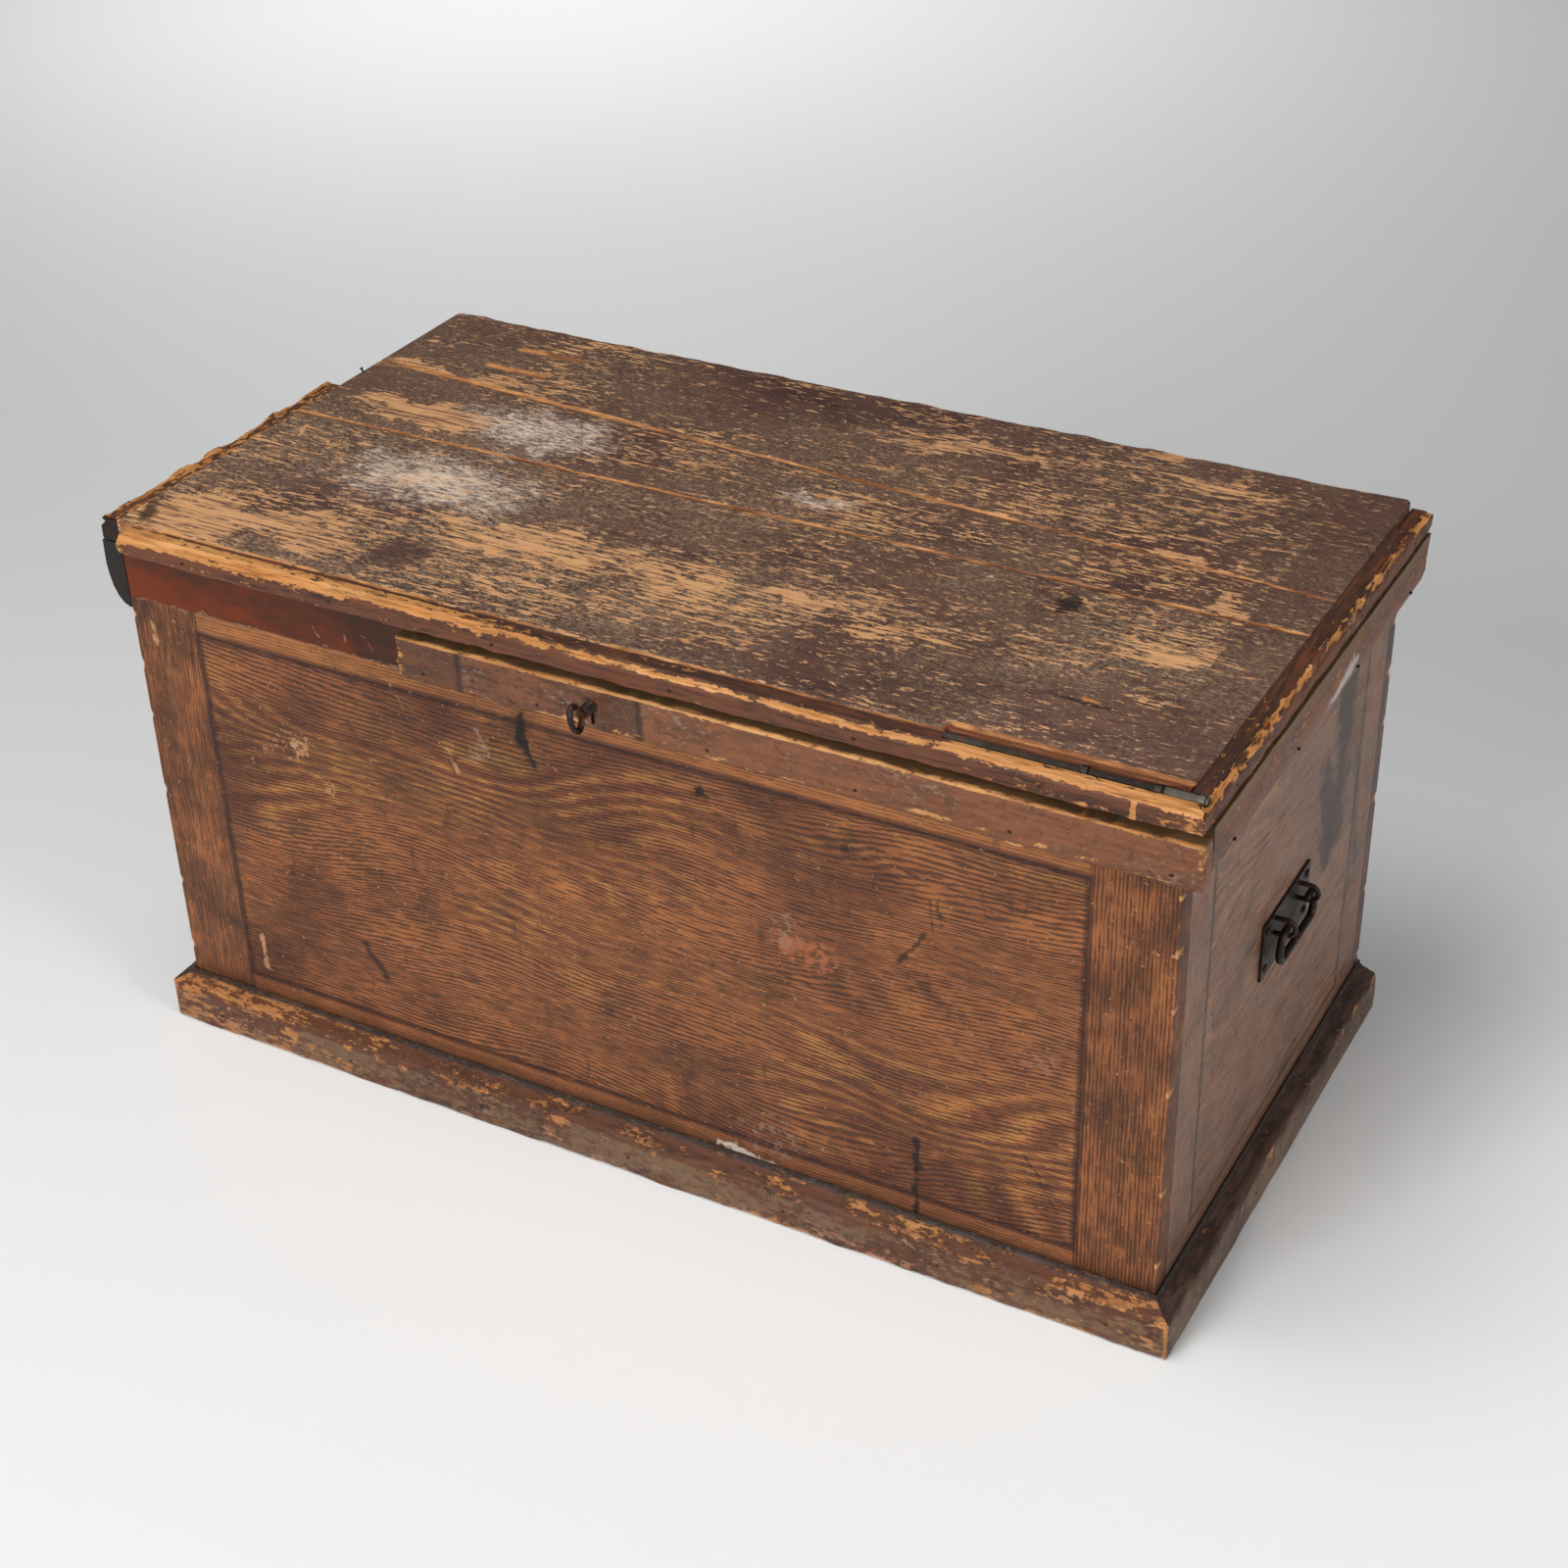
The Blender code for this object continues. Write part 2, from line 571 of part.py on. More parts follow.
def make_hinges():
    """Two strap hinges: leaf in the back board's top edge, strap under the lid, loose pin."""
    metal_low = CASE_HEIGHT - HINGE_METAL
    parts = []
    for side in (LEFT, RIGHT):
        middle = side * (HALF_LENGTH - HINGE_INSET)
        half = HINGE_WIDTH / 2
        axis = HINGE_AXIS
        name = side_name(side) + "_hinge"
        leaf_front = HALF_DEPTH - HINGE_LEAF

        leaf = bmesh.new()
        block(leaf, (middle - half, leaf_front, metal_low), (middle + half, axis.y, CASE_HEIGHT))
        piece(name + "_leaf", leaf, "black_iron", smooth=True)
        barrel = bmesh.new()
        for outer in (-half, half):
            inner = math.copysign(HINGE_MIDDLE / 2, outer)
            ends = [(middle + x, axis.y, axis.z) for x in (outer, inner)]
            bar(barrel, HINGE_BARREL_RADIUS, *ends, ROUND_SIDES)
        join([name + "_leaf"], shaper(name + "_barrel", barrel))
        gap = bmesh.new()
        reach = HINGE_BARREL_RADIUS + FIT
        low = (middle - HINGE_MIDDLE / 2, axis.y - reach, axis.z - reach)
        high = (middle + HINGE_MIDDLE / 2, axis.y + reach, axis.z + reach)
        block(gap, low, high)
        cut([name + "_leaf"], shaper(name + "_gap", gap))

        strap = bmesh.new()
        levels = (LID_BOTTOM, LID_BOTTOM + HINGE_METAL)
        loft(strap, [[(x, y, z) for x, y in strap_outline(middle, 0)] for z in levels])
        parts.append(piece(name + "_strap", strap, "black_iron", smooth=True))
        knuckle = bmesh.new()
        ends = [(middle + x, axis.y, axis.z) for x in (FIT - HINGE_MIDDLE / 2, HINGE_MIDDLE / 2 - FIT)]
        bar(knuckle, HINGE_BARREL_RADIUS, *ends, ROUND_SIDES)
        join([name + "_strap"], shaper(name + "_knuckle", knuckle))

        bore = bmesh.new()
        ends = [(middle + x, axis.y, axis.z) for x in (-half - BREAK_OUT, half + BREAK_OUT)]
        bar(bore, HINGE_PIN_RADIUS + FIT, *ends, ROUND_SIDES)
        cut([name + "_leaf", name + "_strap"], shaper(name + "_bore", bore))
        pin = bmesh.new()
        ends = [(middle + x, axis.y, axis.z) for x in (-half, half)]
        bar(pin, HINGE_PIN_RADIUS, *ends, ROUND_SIDES)
        piece(name + "_pin", pin, "grey_steel", smooth=True)

        seat = bmesh.new()
        low = (middle - half - FIT, leaf_front - FIT, metal_low - FIT)
        block(seat, low, (middle + half + FIT, HALF_DEPTH + BREAK_OUT, CASE_HEIGHT + BREAK_OUT))
        cut(["back_board"], shaper(name + "_seat", seat))
        recess = bmesh.new()
        levels = (LID_BOTTOM - BREAK_OUT, LID_BOTTOM + HINGE_METAL + FIT)
        loft(recess, [[(x, y, z) for x, y in strap_outline(middle, FIT)] for z in levels])
        cut(LID_PLANKS, shaper(name + "_recess", recess))
        notch = bmesh.new()
        ends = [(middle + x, axis.y, axis.z) for x in (-half - FIT, half + FIT)]
        bar(notch, HINGE_BARREL_RADIUS + 2 * FIT, *ends, ROUND_SIDES)
        cut(["back_board", "lid_rear_plank"], shaper(name + "_notch", notch))
    return parts


def keyhole(y_start, y_end):
    """Keyhole through the strip, the board and the lock: a round with a slot below it."""
    half = BIT_THICKNESS / 2 + FIT
    radius = SHANK_RADIUS + FIT
    bottom = -math.degrees(math.acos(half / radius))
    outline = arc((0, KEY_HEIGHT), (radius, radius), bottom, 180 - bottom, ROUND_SIDES)
    outline += [(-half, KEY_HEIGHT - KEYHOLE_DROP), (half, KEY_HEIGHT - KEYHOLE_DROP)]
    bm = bmesh.new()
    loft(bm, [[(x, y, z) for x, z in outline] for y in (y_start, y_end)])
    return shaper("keyhole", bm)


def make_lock():
    """Box lock let into the front board from inside, with a sliding bolt worked by the key."""
    half = LOCK_WIDTH / 2
    bottom = CASE_HEIGHT - LOCK_HEIGHT
    outer = -HALF_DEPTH + LOCK_COVERED + FIT
    cover_face = FRONT_INSIDE - LOCK_METAL
    room_front = outer + LOCK_METAL
    room_back = cover_face - FIT
    middle = (room_front + room_back) / 2
    throw = BIT_REACH - BREAK_OUT

    case = bmesh.new()
    block(case, (-half, outer, bottom), (half, room_back, CASE_HEIGHT))
    piece("lock_case", case, "black_iron")
    room = bmesh.new()
    low = (LOCK_METAL - half, room_front, bottom + LOCK_METAL)
    block(room, low, (half - LOCK_METAL, room_back + BREAK_OUT, CASE_HEIGHT - LOCK_METAL))
    cut(["lock_case"], shaper("lock_room", room))

    bolt_top = CASE_HEIGHT - BOLT_DROP
    bolt_low = bolt_top - BOLT_HEIGHT
    ledge = bmesh.new()
    ledge_end = -BIT_REACH - FIT
    low = (LOCK_METAL / 2 - half, outer + LOCK_METAL / 2, bolt_low - FIT - LOCK_METAL)
    block(ledge, low, (ledge_end, room_back - BOLT_TAIL, bolt_low - FIT))
    join(["lock_case"], shaper("lock_ledge", ledge))

    mortise = bmesh.new()
    low = (-half - FIT, outer - FIT, bottom - FIT)
    block(mortise, low, (half + FIT, FRONT_INSIDE + BREAK_OUT, CASE_HEIGHT + BREAK_OUT))
    cut(["front_board"], shaper("lock_mortise", mortise))
    wide = half + LOCK_FLANGE
    cover_low = bottom - LOCK_FLANGE
    seat = bmesh.new()
    low = (-wide - FIT, cover_face - FIT, cover_low - FIT)
    block(seat, low, (wide + FIT, FRONT_INSIDE + BREAK_OUT, CASE_HEIGHT + BREAK_OUT))
    cut(["front_board"], shaper("lock_cover_seat", seat))
    cover = bmesh.new()
    block(cover, (-wide, cover_face, cover_low), (wide, FRONT_INSIDE, CASE_HEIGHT))
    piece("lock_cover", cover, "black_iron")
    screws = []
    for x in (-wide + LOCK_FLANGE / 2, wide - LOCK_FLANGE / 2):
        for z in (cover_low + LOCK_FLANGE / 2, CASE_HEIGHT - LOCK_FLANGE):
            screws.append(((x, FRONT_INSIDE, z), (0, -1, 0)))
    fasten("lock_screw", screw, screws, SCREW_LENGTH, ["front_board", "lock_cover"])
    pierced = ["front_lip_strip", "front_board", "lock_case"]
    cut(pierced, keyhole(-HALF_DEPTH - FRONT_STRIP_THICKNESS - BREAK_OUT, middle))

    tail_back = room_back - FIT
    tail_front = tail_back - BOLT_TAIL
    prong = BIT_THICKNESS / 2 + PRONG_GAP
    prong_top = KEY_HEIGHT - SHANK_RADIUS - 3 * FIT
    prong_low = KEY_HEIGHT - BIT_REACH - 3 * FIT
    bolt_left = LOCK_METAL + 3 * FIT - half
    bolt = bmesh.new()
    block(bolt, (bolt_left, room_front + FIT, bolt_low), (BOLT_SHOULDER, tail_back, bolt_top))
    piece("lock_bolt", bolt, "grey_steel")
    nose = bmesh.new()
    nose_half = STAPLE_WIDTH / 2 - STAPLE_LEG - 2 * FIT
    low = (BOLT_SHOULDER - BREAK_OUT, middle - nose_half, bolt_low + FIT)
    block(nose, low, (BOLT_SHOULDER + BOLT_NOSE, middle + nose_half, bolt_top - FIT))
    join(["lock_bolt"], shaper("lock_bolt_nose", nose))
    tail = bmesh.new()
    low = (-prong - PRONG_WIDTH, tail_front, prong_low)
    block(tail, low, (BOLT_SHOULDER - FIT, tail_back - FIT, bolt_low + BREAK_OUT))
    join(["lock_bolt"], shaper("lock_bolt_tail", tail))
    foot = bmesh.new()
    block(foot, low, (prong + PRONG_WIDTH, tail_back - FIT, prong_top))
    join(["lock_bolt"], shaper("lock_bolt_foot", foot))
    prongs = bmesh.new()
    for inner, outward in ((-prong, -prong - PRONG_WIDTH), (prong, prong + PRONG_WIDTH)):
        low = (min(inner, outward), room_front + FIT, prong_low + FIT)
        block(prongs, low, (max(inner, outward), tail_back - 2 * FIT, prong_top - FIT))
    join(["lock_bolt"], shaper("lock_bolt_prongs", prongs))

    tip = tail_front - FIT
    make_key(room_front + FIT, tip)
    return make_link_plate(middle, BOLT_SHOULDER + throw + 2 * FIT)


def make_key(bit_front, tip):
    """Key with a ringed shank, a plain bit hanging down and an upright oval bow."""
    strip_face = -HALF_DEPTH - FRONT_STRIP_THICKNESS
    bow_end = strip_face - BOW_STANDOFF
    slope = COLLAR_RADIUS - SHANK_RADIUS
    land = (BOW_STANDOFF - COLLAR_COUNT * COLLAR_LENGTH) / (COLLAR_COUNT + 1)
    shank = bmesh.new()
    profile = [(SHANK_RADIUS, 0)]
    for number in range(COLLAR_COUNT):
        middle = land + COLLAR_LENGTH / 2 + number * (land + COLLAR_LENGTH)
        profile += arc((SHANK_RADIUS, middle), (slope, COLLAR_LENGTH / 2), -90, 90, 4)
    profile += [(SHANK_RADIUS, tip - bow_end)]
    origin = Vector((0, bow_end, KEY_HEIGHT))
    turned(shank, profile, origin, (0, 1, 0), ROUND_SIDES)
    key = piece("key", shank, "black_iron", smooth=True)

    bow = bmesh.new()
    radii = ((BOW_LENGTH - BOW_WIRE) / 2, (BOW_HEIGHT - BOW_WIRE) / 2)
    centre = (bow_end - radii[0], KEY_HEIGHT)
    oval = [Vector((0, y, z)) for y, z in arc(centre, radii, 0, 360, BOW_SIDES)[:-1]]
    tube(bow, oval, (1, 0, 0), BOW_WIRE / 2, WIRE_SIDES, closed=True)
    join(["key"], shaper("key_bow", bow))
    bit = bmesh.new()
    low = (-BIT_THICKNESS / 2, bit_front, KEY_HEIGHT - BIT_REACH)
    block(bit, low, (BIT_THICKNESS / 2, tip - FIT, KEY_HEIGHT))
    join(["key"], shaper("key_bit", bit))
    pivot("key_axis", origin, [key])


def make_link_plate(middle, staple_x):
    """Plate let into the lid's underside, with a staple that the bolt shoots through."""
    front = middle - LINK_PLATE_WIDTH / 2 + STAPLE_WIDTH / 4
    back = front + LINK_PLATE_WIDTH
    centre = staple_x + STAPLE_THICKNESS / 2
    ends = (centre - LINK_PLATE_LENGTH / 2, centre + LINK_PLATE_LENGTH / 2)
    top = LID_BOTTOM + LINK_PLATE_METAL
    plate = bmesh.new()
    block(plate, (ends[0], front, LID_BOTTOM), (ends[1], back, top))
    parts = [piece("lock_link_plate", plate, "black_iron")]
    recess = bmesh.new()
    low = (ends[0] - FIT, front - FIT, LID_BOTTOM - BREAK_OUT)
    block(recess, low, (ends[1] + FIT, back + FIT, top + FIT))
    cut(["lid_front_plank"], shaper("link_plate_recess", recess))

    outer = STAPLE_WIDTH / 2
    inner = outer - STAPLE_LEG
    tip = LID_BOTTOM - STAPLE_DROP
    outline = [(outer, top), (inner, top), (inner, tip + STAPLE_LEG), (-inner, tip + STAPLE_LEG)]
    outline += [(-inner, top), (-outer, top), (-outer, tip + STAPLE_LEG / 2), (-inner, tip), (inner, tip)]
    outline += [(outer, tip + STAPLE_LEG / 2)]
    faces = (staple_x, staple_x + STAPLE_THICKNESS)
    staple = bmesh.new()
    loft(staple, [[(x, middle + y, z) for y, z in outline] for x in faces])
    parts.append(piece("lock_staple", staple, "grey_steel"))
    tenons = bmesh.new()
    for y in (middle - (outer + inner) / 2, middle + (outer + inner) / 2):
        low = (faces[0] - FIT, y - STAPLE_LEG / 2 - FIT, LID_BOTTOM - BREAK_OUT)
        block(tenons, low, (faces[1] + FIT, y + STAPLE_LEG / 2 + FIT, top + FIT / 2))
    cut(["lock_link_plate"], shaper("staple_tenon_holes", tenons))
    slot = bmesh.new()
    low = (faces[0] - BREAK_OUT, middle - outer - 2 * FIT, CASE_HEIGHT - 2 * LOCK_METAL)
    block(slot, low, (faces[1] + BREAK_OUT, middle + outer + 2 * FIT, CASE_HEIGHT + BREAK_OUT))
    cut(["lock_case"], shaper("staple_slot", slot))

    y = (front + back) / 2
    screws = [((x, y, LID_BOTTOM), (0, 0, 1)) for x in (ends[0] + LOCK_FLANGE, ends[1] - LOCK_FLANGE)]
    through = ["lid_front_plank", "lock_link_plate"]
    parts += fasten("link_plate_screw", screw, screws, SCREW_LENGTH, through)
    return parts


def make_handles():
    """Drop handles: riveted plate, two staple eyes and a bail that turns in them."""
    top = HANDLE_HEIGHT + HANDLE_PLATE_ABOVE
    bottom = top - HANDLE_PLATE_WIDTH
    rivets = []
    for side in (LEFT, RIGHT):
        name = side_name(side)
        face = side * (HALF_LENGTH + FIT)
        front = face + side * HANDLE_METAL
        ring_x = front + side * EYE_REACH
        half = HANDLE_PLATE_LENGTH / 2
        plate = bmesh.new()
        block(plate, (min(face, front), -half, bottom), (max(face, front), half, top))
        piece(name + "_handle_plate", plate, "black_iron")
        for y in (RIVET_INSET - half, half - RIVET_INSET):
            for z in (bottom + RIVET_INSET, top - RIVET_INSET):
                rivets.append(((front + side * FIT, y, z), (-side, 0, 0)))

        holes = bmesh.new()
        root = side * (HALF_LENGTH - EYE_LEG)
        for place, y in (("front", -EYE_SPACING / 2), ("rear", EYE_SPACING / 2)):
            crown = []
            for angle in spread(math.pi / 2, -math.pi / 2, 9):
                reach = side * EYE_RADIUS * math.cos(angle)
                crown.append(Vector((ring_x + reach, y, HANDLE_HEIGHT + EYE_RADIUS * math.sin(angle))))
            feet = [Vector((root, y, HANDLE_HEIGHT + z)) for z in (EYE_RADIUS, -EYE_RADIUS)]
            eye = bmesh.new()
            tube(eye, feet[:1] + crown + feet[1:], (0, 1, 0), EYE_WIRE / 2, WIRE_SIDES)
            piece(f"{name}_handle_{place}_eye", eye, "black_iron", smooth=True)
            for foot in feet:
                start = foot - Vector((side * FIT, 0, 0))
                end = Vector((front + side * BREAK_OUT, foot.y, foot.z))
                bar(holes, EYE_WIRE / 2 + FIT, start, end, WIRE_SIDES)
        cut([name + "_end_board", name + "_handle_plate"], shaper(name + "_eye_holes", holes))

        inner_radius = EYE_RADIUS - EYE_WIRE / 2
        sag = inner_radius - BAIL_ROD / 2 - FIT
        axis = Vector((ring_x, 0, HANDLE_HEIGHT - sag))
        wide = BAIL_WIDTH / 2
        neck = EYE_SPACING / 2 + BAIL_TURN_IN / 2
        corners = []
        for y, z in ((neck - BAIL_TURN_IN, 0), (neck + BAIL_BEND / 4, 0), (wide, -BAIL_DROP)):
            corners.append(axis + Vector((0, y, z)))
        corners += [Vector((corner.x, -corner.y, corner.z)) for corner in reversed(corners)]
        bail = bmesh.new()
        tube(bail, bent_path(corners, BAIL_BEND), (1, 0, 0), BAIL_ROD / 2, WIRE_SIDES)
        pivot(name + "_bail_axis", axis, [piece(name + "_bail", bail, "black_iron", smooth=True)])
    boards = ["left_end_board", "right_end_board", "left_handle_plate", "right_handle_plate"]
    fasten("handle_rivet", rivet, rivets, RIVET_LENGTH, boards)


for item in list(bpy.data.objects):
    bpy.data.objects.remove(item)

make_case()
make_plinth()
make_strips()
lid_parts = make_lid()
lid_parts += make_edge_rod()
lid_parts += make_hinges()
lid_parts += make_lock()
make_handles()
pivot("lid_axis", HINGE_AXIS, lid_parts)
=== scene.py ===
import math

import bpy
from mathutils import Matrix, Vector


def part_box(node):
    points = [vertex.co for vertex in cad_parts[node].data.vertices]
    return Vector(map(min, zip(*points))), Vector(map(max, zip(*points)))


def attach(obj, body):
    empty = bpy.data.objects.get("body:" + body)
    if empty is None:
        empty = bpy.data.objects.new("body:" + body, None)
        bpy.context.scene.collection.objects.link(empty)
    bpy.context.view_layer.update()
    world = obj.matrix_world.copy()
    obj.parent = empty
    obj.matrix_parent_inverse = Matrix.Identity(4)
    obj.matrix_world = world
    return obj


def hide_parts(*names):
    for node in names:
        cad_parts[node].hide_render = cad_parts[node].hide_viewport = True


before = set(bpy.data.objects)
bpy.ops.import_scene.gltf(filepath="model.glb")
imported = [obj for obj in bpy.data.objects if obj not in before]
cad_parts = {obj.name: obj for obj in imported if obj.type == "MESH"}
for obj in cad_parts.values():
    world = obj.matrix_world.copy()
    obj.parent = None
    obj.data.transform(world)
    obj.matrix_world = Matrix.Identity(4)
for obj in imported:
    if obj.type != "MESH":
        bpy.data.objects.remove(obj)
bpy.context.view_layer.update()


# Bottom boards
# Three tongued pine boards, planed and left bare inside, nailed up under the walls.
# Their upper faces are the floor of the trunk, grey-brown with age and dirt.
PINE_PALE = "d29a5e"
PINE_HONEY = "b57a42"
PINE_RESIN = "80502b"
INSIDE_BROWN = "94693f"
INSIDE_DIRT = "50392a"
RIM_DIRT = "2c1f19"
INSIDE_ROUGHNESS = 0.78
PINE_RELIEF = 0.0006
ALONG_GRAIN = 0.05


def tint(code):
    """Linear colour from a six-digit code."""
    shares = [int(code[i:i + 2], 16) / 255 for i in (0, 2, 4)]
    linear = [s / 12.92 if s < 0.04045 else ((s + 0.055) / 1.055) ** 2.4 for s in shares]
    return (*linear, 1)


class Field:
    """A value that changes over a surface and is reckoned with like a number."""

    def __init__(self, finish, socket):
        self.finish = finish
        self.socket = socket

    def __add__(self, other):
        return self.finish.maths("ADD", self, other)

    __radd__ = __add__

    def __sub__(self, other):
        return self.finish.maths("SUBTRACT", self, other)

    def __rsub__(self, other):
        return self.finish.maths("SUBTRACT", other, self)

    def __mul__(self, other):
        return self.finish.maths("MULTIPLY", self, other)

    __rmul__ = __mul__

    def __abs__(self):
        return self.finish.maths("ABSOLUTE", self)

    def sine(self):
        return self.finish.maths("SINE", self)

    def most(self, other):
        return self.finish.maths("MAXIMUM", self, other)

    def rise(self, low, high):
        """Goes softly from 0 at low to 1 at high, also where high is the smaller."""
        ends = {"Value": self, "From Min": low, "From Max": high}
        node = self.finish.add("MapRange", ends, interpolation_type="SMOOTHSTEP")
        return Field(self.finish, node.outputs[0])


class Finish:
    """One material, laid on in coats over the trunk's own coordinates."""

    def __init__(self, name):
        self.material = bpy.data.materials.new(name)
        self.material.use_nodes = True
        self.tree = self.material.node_tree
        self.shader = self.tree.nodes["Principled BSDF"]
        self.place = self.add("TexCoord").outputs["Object"]
        axes = self.add("SeparateXYZ", {"Vector": self.place}).outputs
        self.x, self.y, self.z = [Field(self, axis) for axis in axes]

    def feed(self, socket, value):
        if isinstance(value, str):
            value = tint(value)
        if isinstance(value, Field):
            value = value.socket
        if isinstance(value, bpy.types.NodeSocket):
            self.tree.links.new(value, socket)
        else:
            socket.default_value = value

    def add(self, kind, inputs=(), **settings):
        node = self.tree.nodes.new("ShaderNode" + kind)
        for name, value in settings.items():
            setattr(node, name, value)
        for name, value in dict(inputs).items():
            self.feed(node.inputs[name], value)
        return node

    def maths(self, operation, first, second=0.0):
        node = self.add("Math", {0: first, 1: second}, operation=operation)
        return Field(self, node.outputs[0])

    def vector(self, operation, first, second):
        return self.add("VectorMath", {0: first, 1: second}, operation=operation).outputs[0]

    def length(self, vector):
        node = self.add("VectorMath", {0: vector}, operation="LENGTH")
        return Field(self, node.outputs["Value"])

    def noise(self, size, stretch=(1, 1, 1), detail=3, rough=0.55, twist=0.0, seed=0.0):
        """Cloudy pattern with patches of about the given size, drawn out where stretch is small."""
        spot = self.vector("MULTIPLY", self.place, stretch)
        spot = self.vector("ADD", spot, (seed, seed, seed))
        inputs = {"Vector": spot, "Scale": 1 / size, "Detail": detail, "Roughness": rough}
        return Field(self, self.add("TexNoise", {**inputs, "Distortion": twist}).outputs[0])

    def blend(self, first, second, share):
        """Colour that goes from the first to the second as share goes from 0 to 1."""
        node = self.add("Mix", {0: share, 6: first, 7: second}, data_type="RGBA")
        return node.outputs[2]

    def strayed(self, size, amount):
        """The place pushed about by a cloudy pattern, for outlines that aren't too true."""
        cloud = self.add("TexNoise", {"Vector": self.place, "Scale": 1 / size, "Detail": 4, "Roughness": 0.6})
        push = self.vector("SUBTRACT", cloud.outputs["Color"], (0.5, 0.5, 0.5))
        push = self.add("VectorMath", {0: push, "Scale": amount}, operation="SCALE").outputs[0]
        return self.vector("ADD", self.place, push)

    def away(self, centre, reach, place=None):
        """Distance from a centre, in units of the reach along each axis."""
        gone = self.vector("SUBTRACT", place or self.place, centre)
        return self.length(self.vector("DIVIDE", gone, reach))

    def stroke(self, start, end, place=None):
        """Distance from the straight line between two points, in metres."""
        run = Vector(end) - Vector(start)
        gone = self.vector("SUBTRACT", place or self.place, start)
        node = self.add("VectorMath", {0: gone, 1: run / run.length_squared}, operation="DOT_PRODUCT")
        share = self.add("Clamp", {"Value": node.outputs["Value"]}).outputs[0]
        foot = self.add("VectorMath", {0: run, "Scale": share}, operation="SCALE").outputs[0]
        return self.length(self.vector("SUBTRACT", gone, foot))

    def coat(self, colour, roughness, height=None, relief=0.0, gloss=0.3):
        """Joins the colour, the roughness, the gloss and the relief to the shader."""
        self.shader.inputs["Specular IOR Level"].default_value = gloss
        self.feed(self.shader.inputs["Base Color"], colour)
        self.feed(self.shader.inputs["Roughness"], roughness)
        if height is not None:
            bump = self.add("Bump", {"Height": height, "Distance": relief})
            self.tree.links.new(bump.outputs[0], self.shader.inputs["Normal"])
        return self.material


def drawn_out(along, share):
    """Stretch of a pattern that is drawn out along one axis: 0, 1 or 2."""
    stretch = [1.0] * 3
    stretch[along] = share
    return stretch


def pine(finish, along, seed=0.0):
    """Colour and relief of bare pine with its grain along one axis."""
    rings = finish.noise(0.0075, drawn_out(along, ALONG_GRAIN), detail=4, twist=0.5, seed=seed)
    pores = finish.noise(0.0015, drawn_out(along, ALONG_GRAIN), detail=2, seed=seed + 3)
    tone = finish.noise(0.10, detail=2, seed=seed + 7)
    colour = finish.blend(PINE_PALE, PINE_HONEY, rings.rise(0.38, 0.62))
    colour = finish.blend(colour, PINE_RESIN, rings.rise(0.58, 0.75) * 0.6)
    colour = finish.blend(colour, PINE_RESIN, tone.rise(0.45, 0.75) * 0.35)
    colour = finish.blend(colour, PINE_RESIN, pores.rise(0.55, 0.75) * 0.35)
    return colour, rings * 0.7 + pores * 0.3


def aged_pine(finish, along, seed=0.0):
    """Unpainted pine gone brown, with dirt in patches and in the grain."""
    colour, relief = pine(finish, along, seed)
    dirt = finish.noise(0.16, detail=5, rough=0.65, seed=seed + 5)
    specks = finish.noise(0.006, drawn_out(along, 0.4), detail=5, rough=0.75, seed=seed + 9)
    colour = finish.blend(colour, INSIDE_BROWN, 0.55)
    colour = finish.blend(colour, INSIDE_DIRT, dirt.rise(0.35, 0.75) * 0.75)
    colour = finish.blend(colour, INSIDE_DIRT, specks.rise(0.56, 0.68) * 0.6)
    return colour, relief


def bare_board(name, along, seed=0.0, dark_rim=1.0):
    """Material of an unpainted piece, dirty where it shows past the rim outside."""
    finish = Finish(name)
    colour, relief = aged_pine(finish, along, seed)
    colour = finish.blend(colour, RIM_DIRT, finish.y.rise(dark_rim - 0.001, dark_rim) * 0.8)
    return finish.coat(colour, INSIDE_ROUGHNESS, relief, PINE_RELIEF)


def dress(piece, material):
    """Gives a piece one material only."""
    piece.data.materials.clear()
    piece.data.materials.append(material)


for number, name in enumerate(("bottom_front_board", "bottom_middle_board", "bottom_rear_board")):
    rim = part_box("bottom_rear_board")[1].y
    dress(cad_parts[name], bare_board(name + "_pine", 0, 2.0 * number, rim))


# Front, back and end boards
# Pine boards butted and nailed at the corners, the front and the back lapping the ends.
# The outside is painted in imitation of oak, combed while wet; the inside is bare.
OAK_GROUND = "8b532d"
OAK_LIGHT = "a2643b"
OAK_GOLD = "bf8545"
OAK_DARK = "36211b"
OAK_RED = "5e3320"
LINE_BROWN = "341d18"
GRIME = "271b15"
RUN_BLACK = "15120f"
SCAR_PALE = "b98a63"
GAP_DUST_AND_LIGHT = "665034"
DUST_GREY = "8d7a6c"
CHIP_WHITE = "cdbfae"
RUB_RED = "a3603f"
RUB_TAN = "96684d"
UNDER_STRIP_RED = "6a2a0a"
UNDER_STRIP_DARK = "3f2011"
END_GREY_AND_SHEEN = "7d6353"
COMB_PITCH = 0.0030
FLAME_PITCH = 0.0125
LINE_HALF_WIDTH = 0.0029
PANEL_LOW = 0.062
PANEL_HIGH = 0.395
PANEL_MIDDLE = (PANEL_HIGH + PANEL_LOW) / 2
PANEL_HALF_HEIGHT = (PANEL_HIGH - PANEL_LOW) / 2
FRONT_PANEL_HALF = 0.384
END_PANEL_HALF = 0.167
PAINT_ROUGHNESS = 0.42
PAINT_RELIEF = 0.0004
PAINT_GLOSS = 0.2
FACE_SKIN = 0.0006
MERGE = 0.00001
FLAT = math.radians(1)
SHARP = math.radians(30)
SMOOTH = math.radians(38)
CORNER_ROUND = 0.0012
CORNER_STEP = 0.0025
CORNER_BANDS = (0.002, 0.004)
CORNER_CHIP = 0.0008
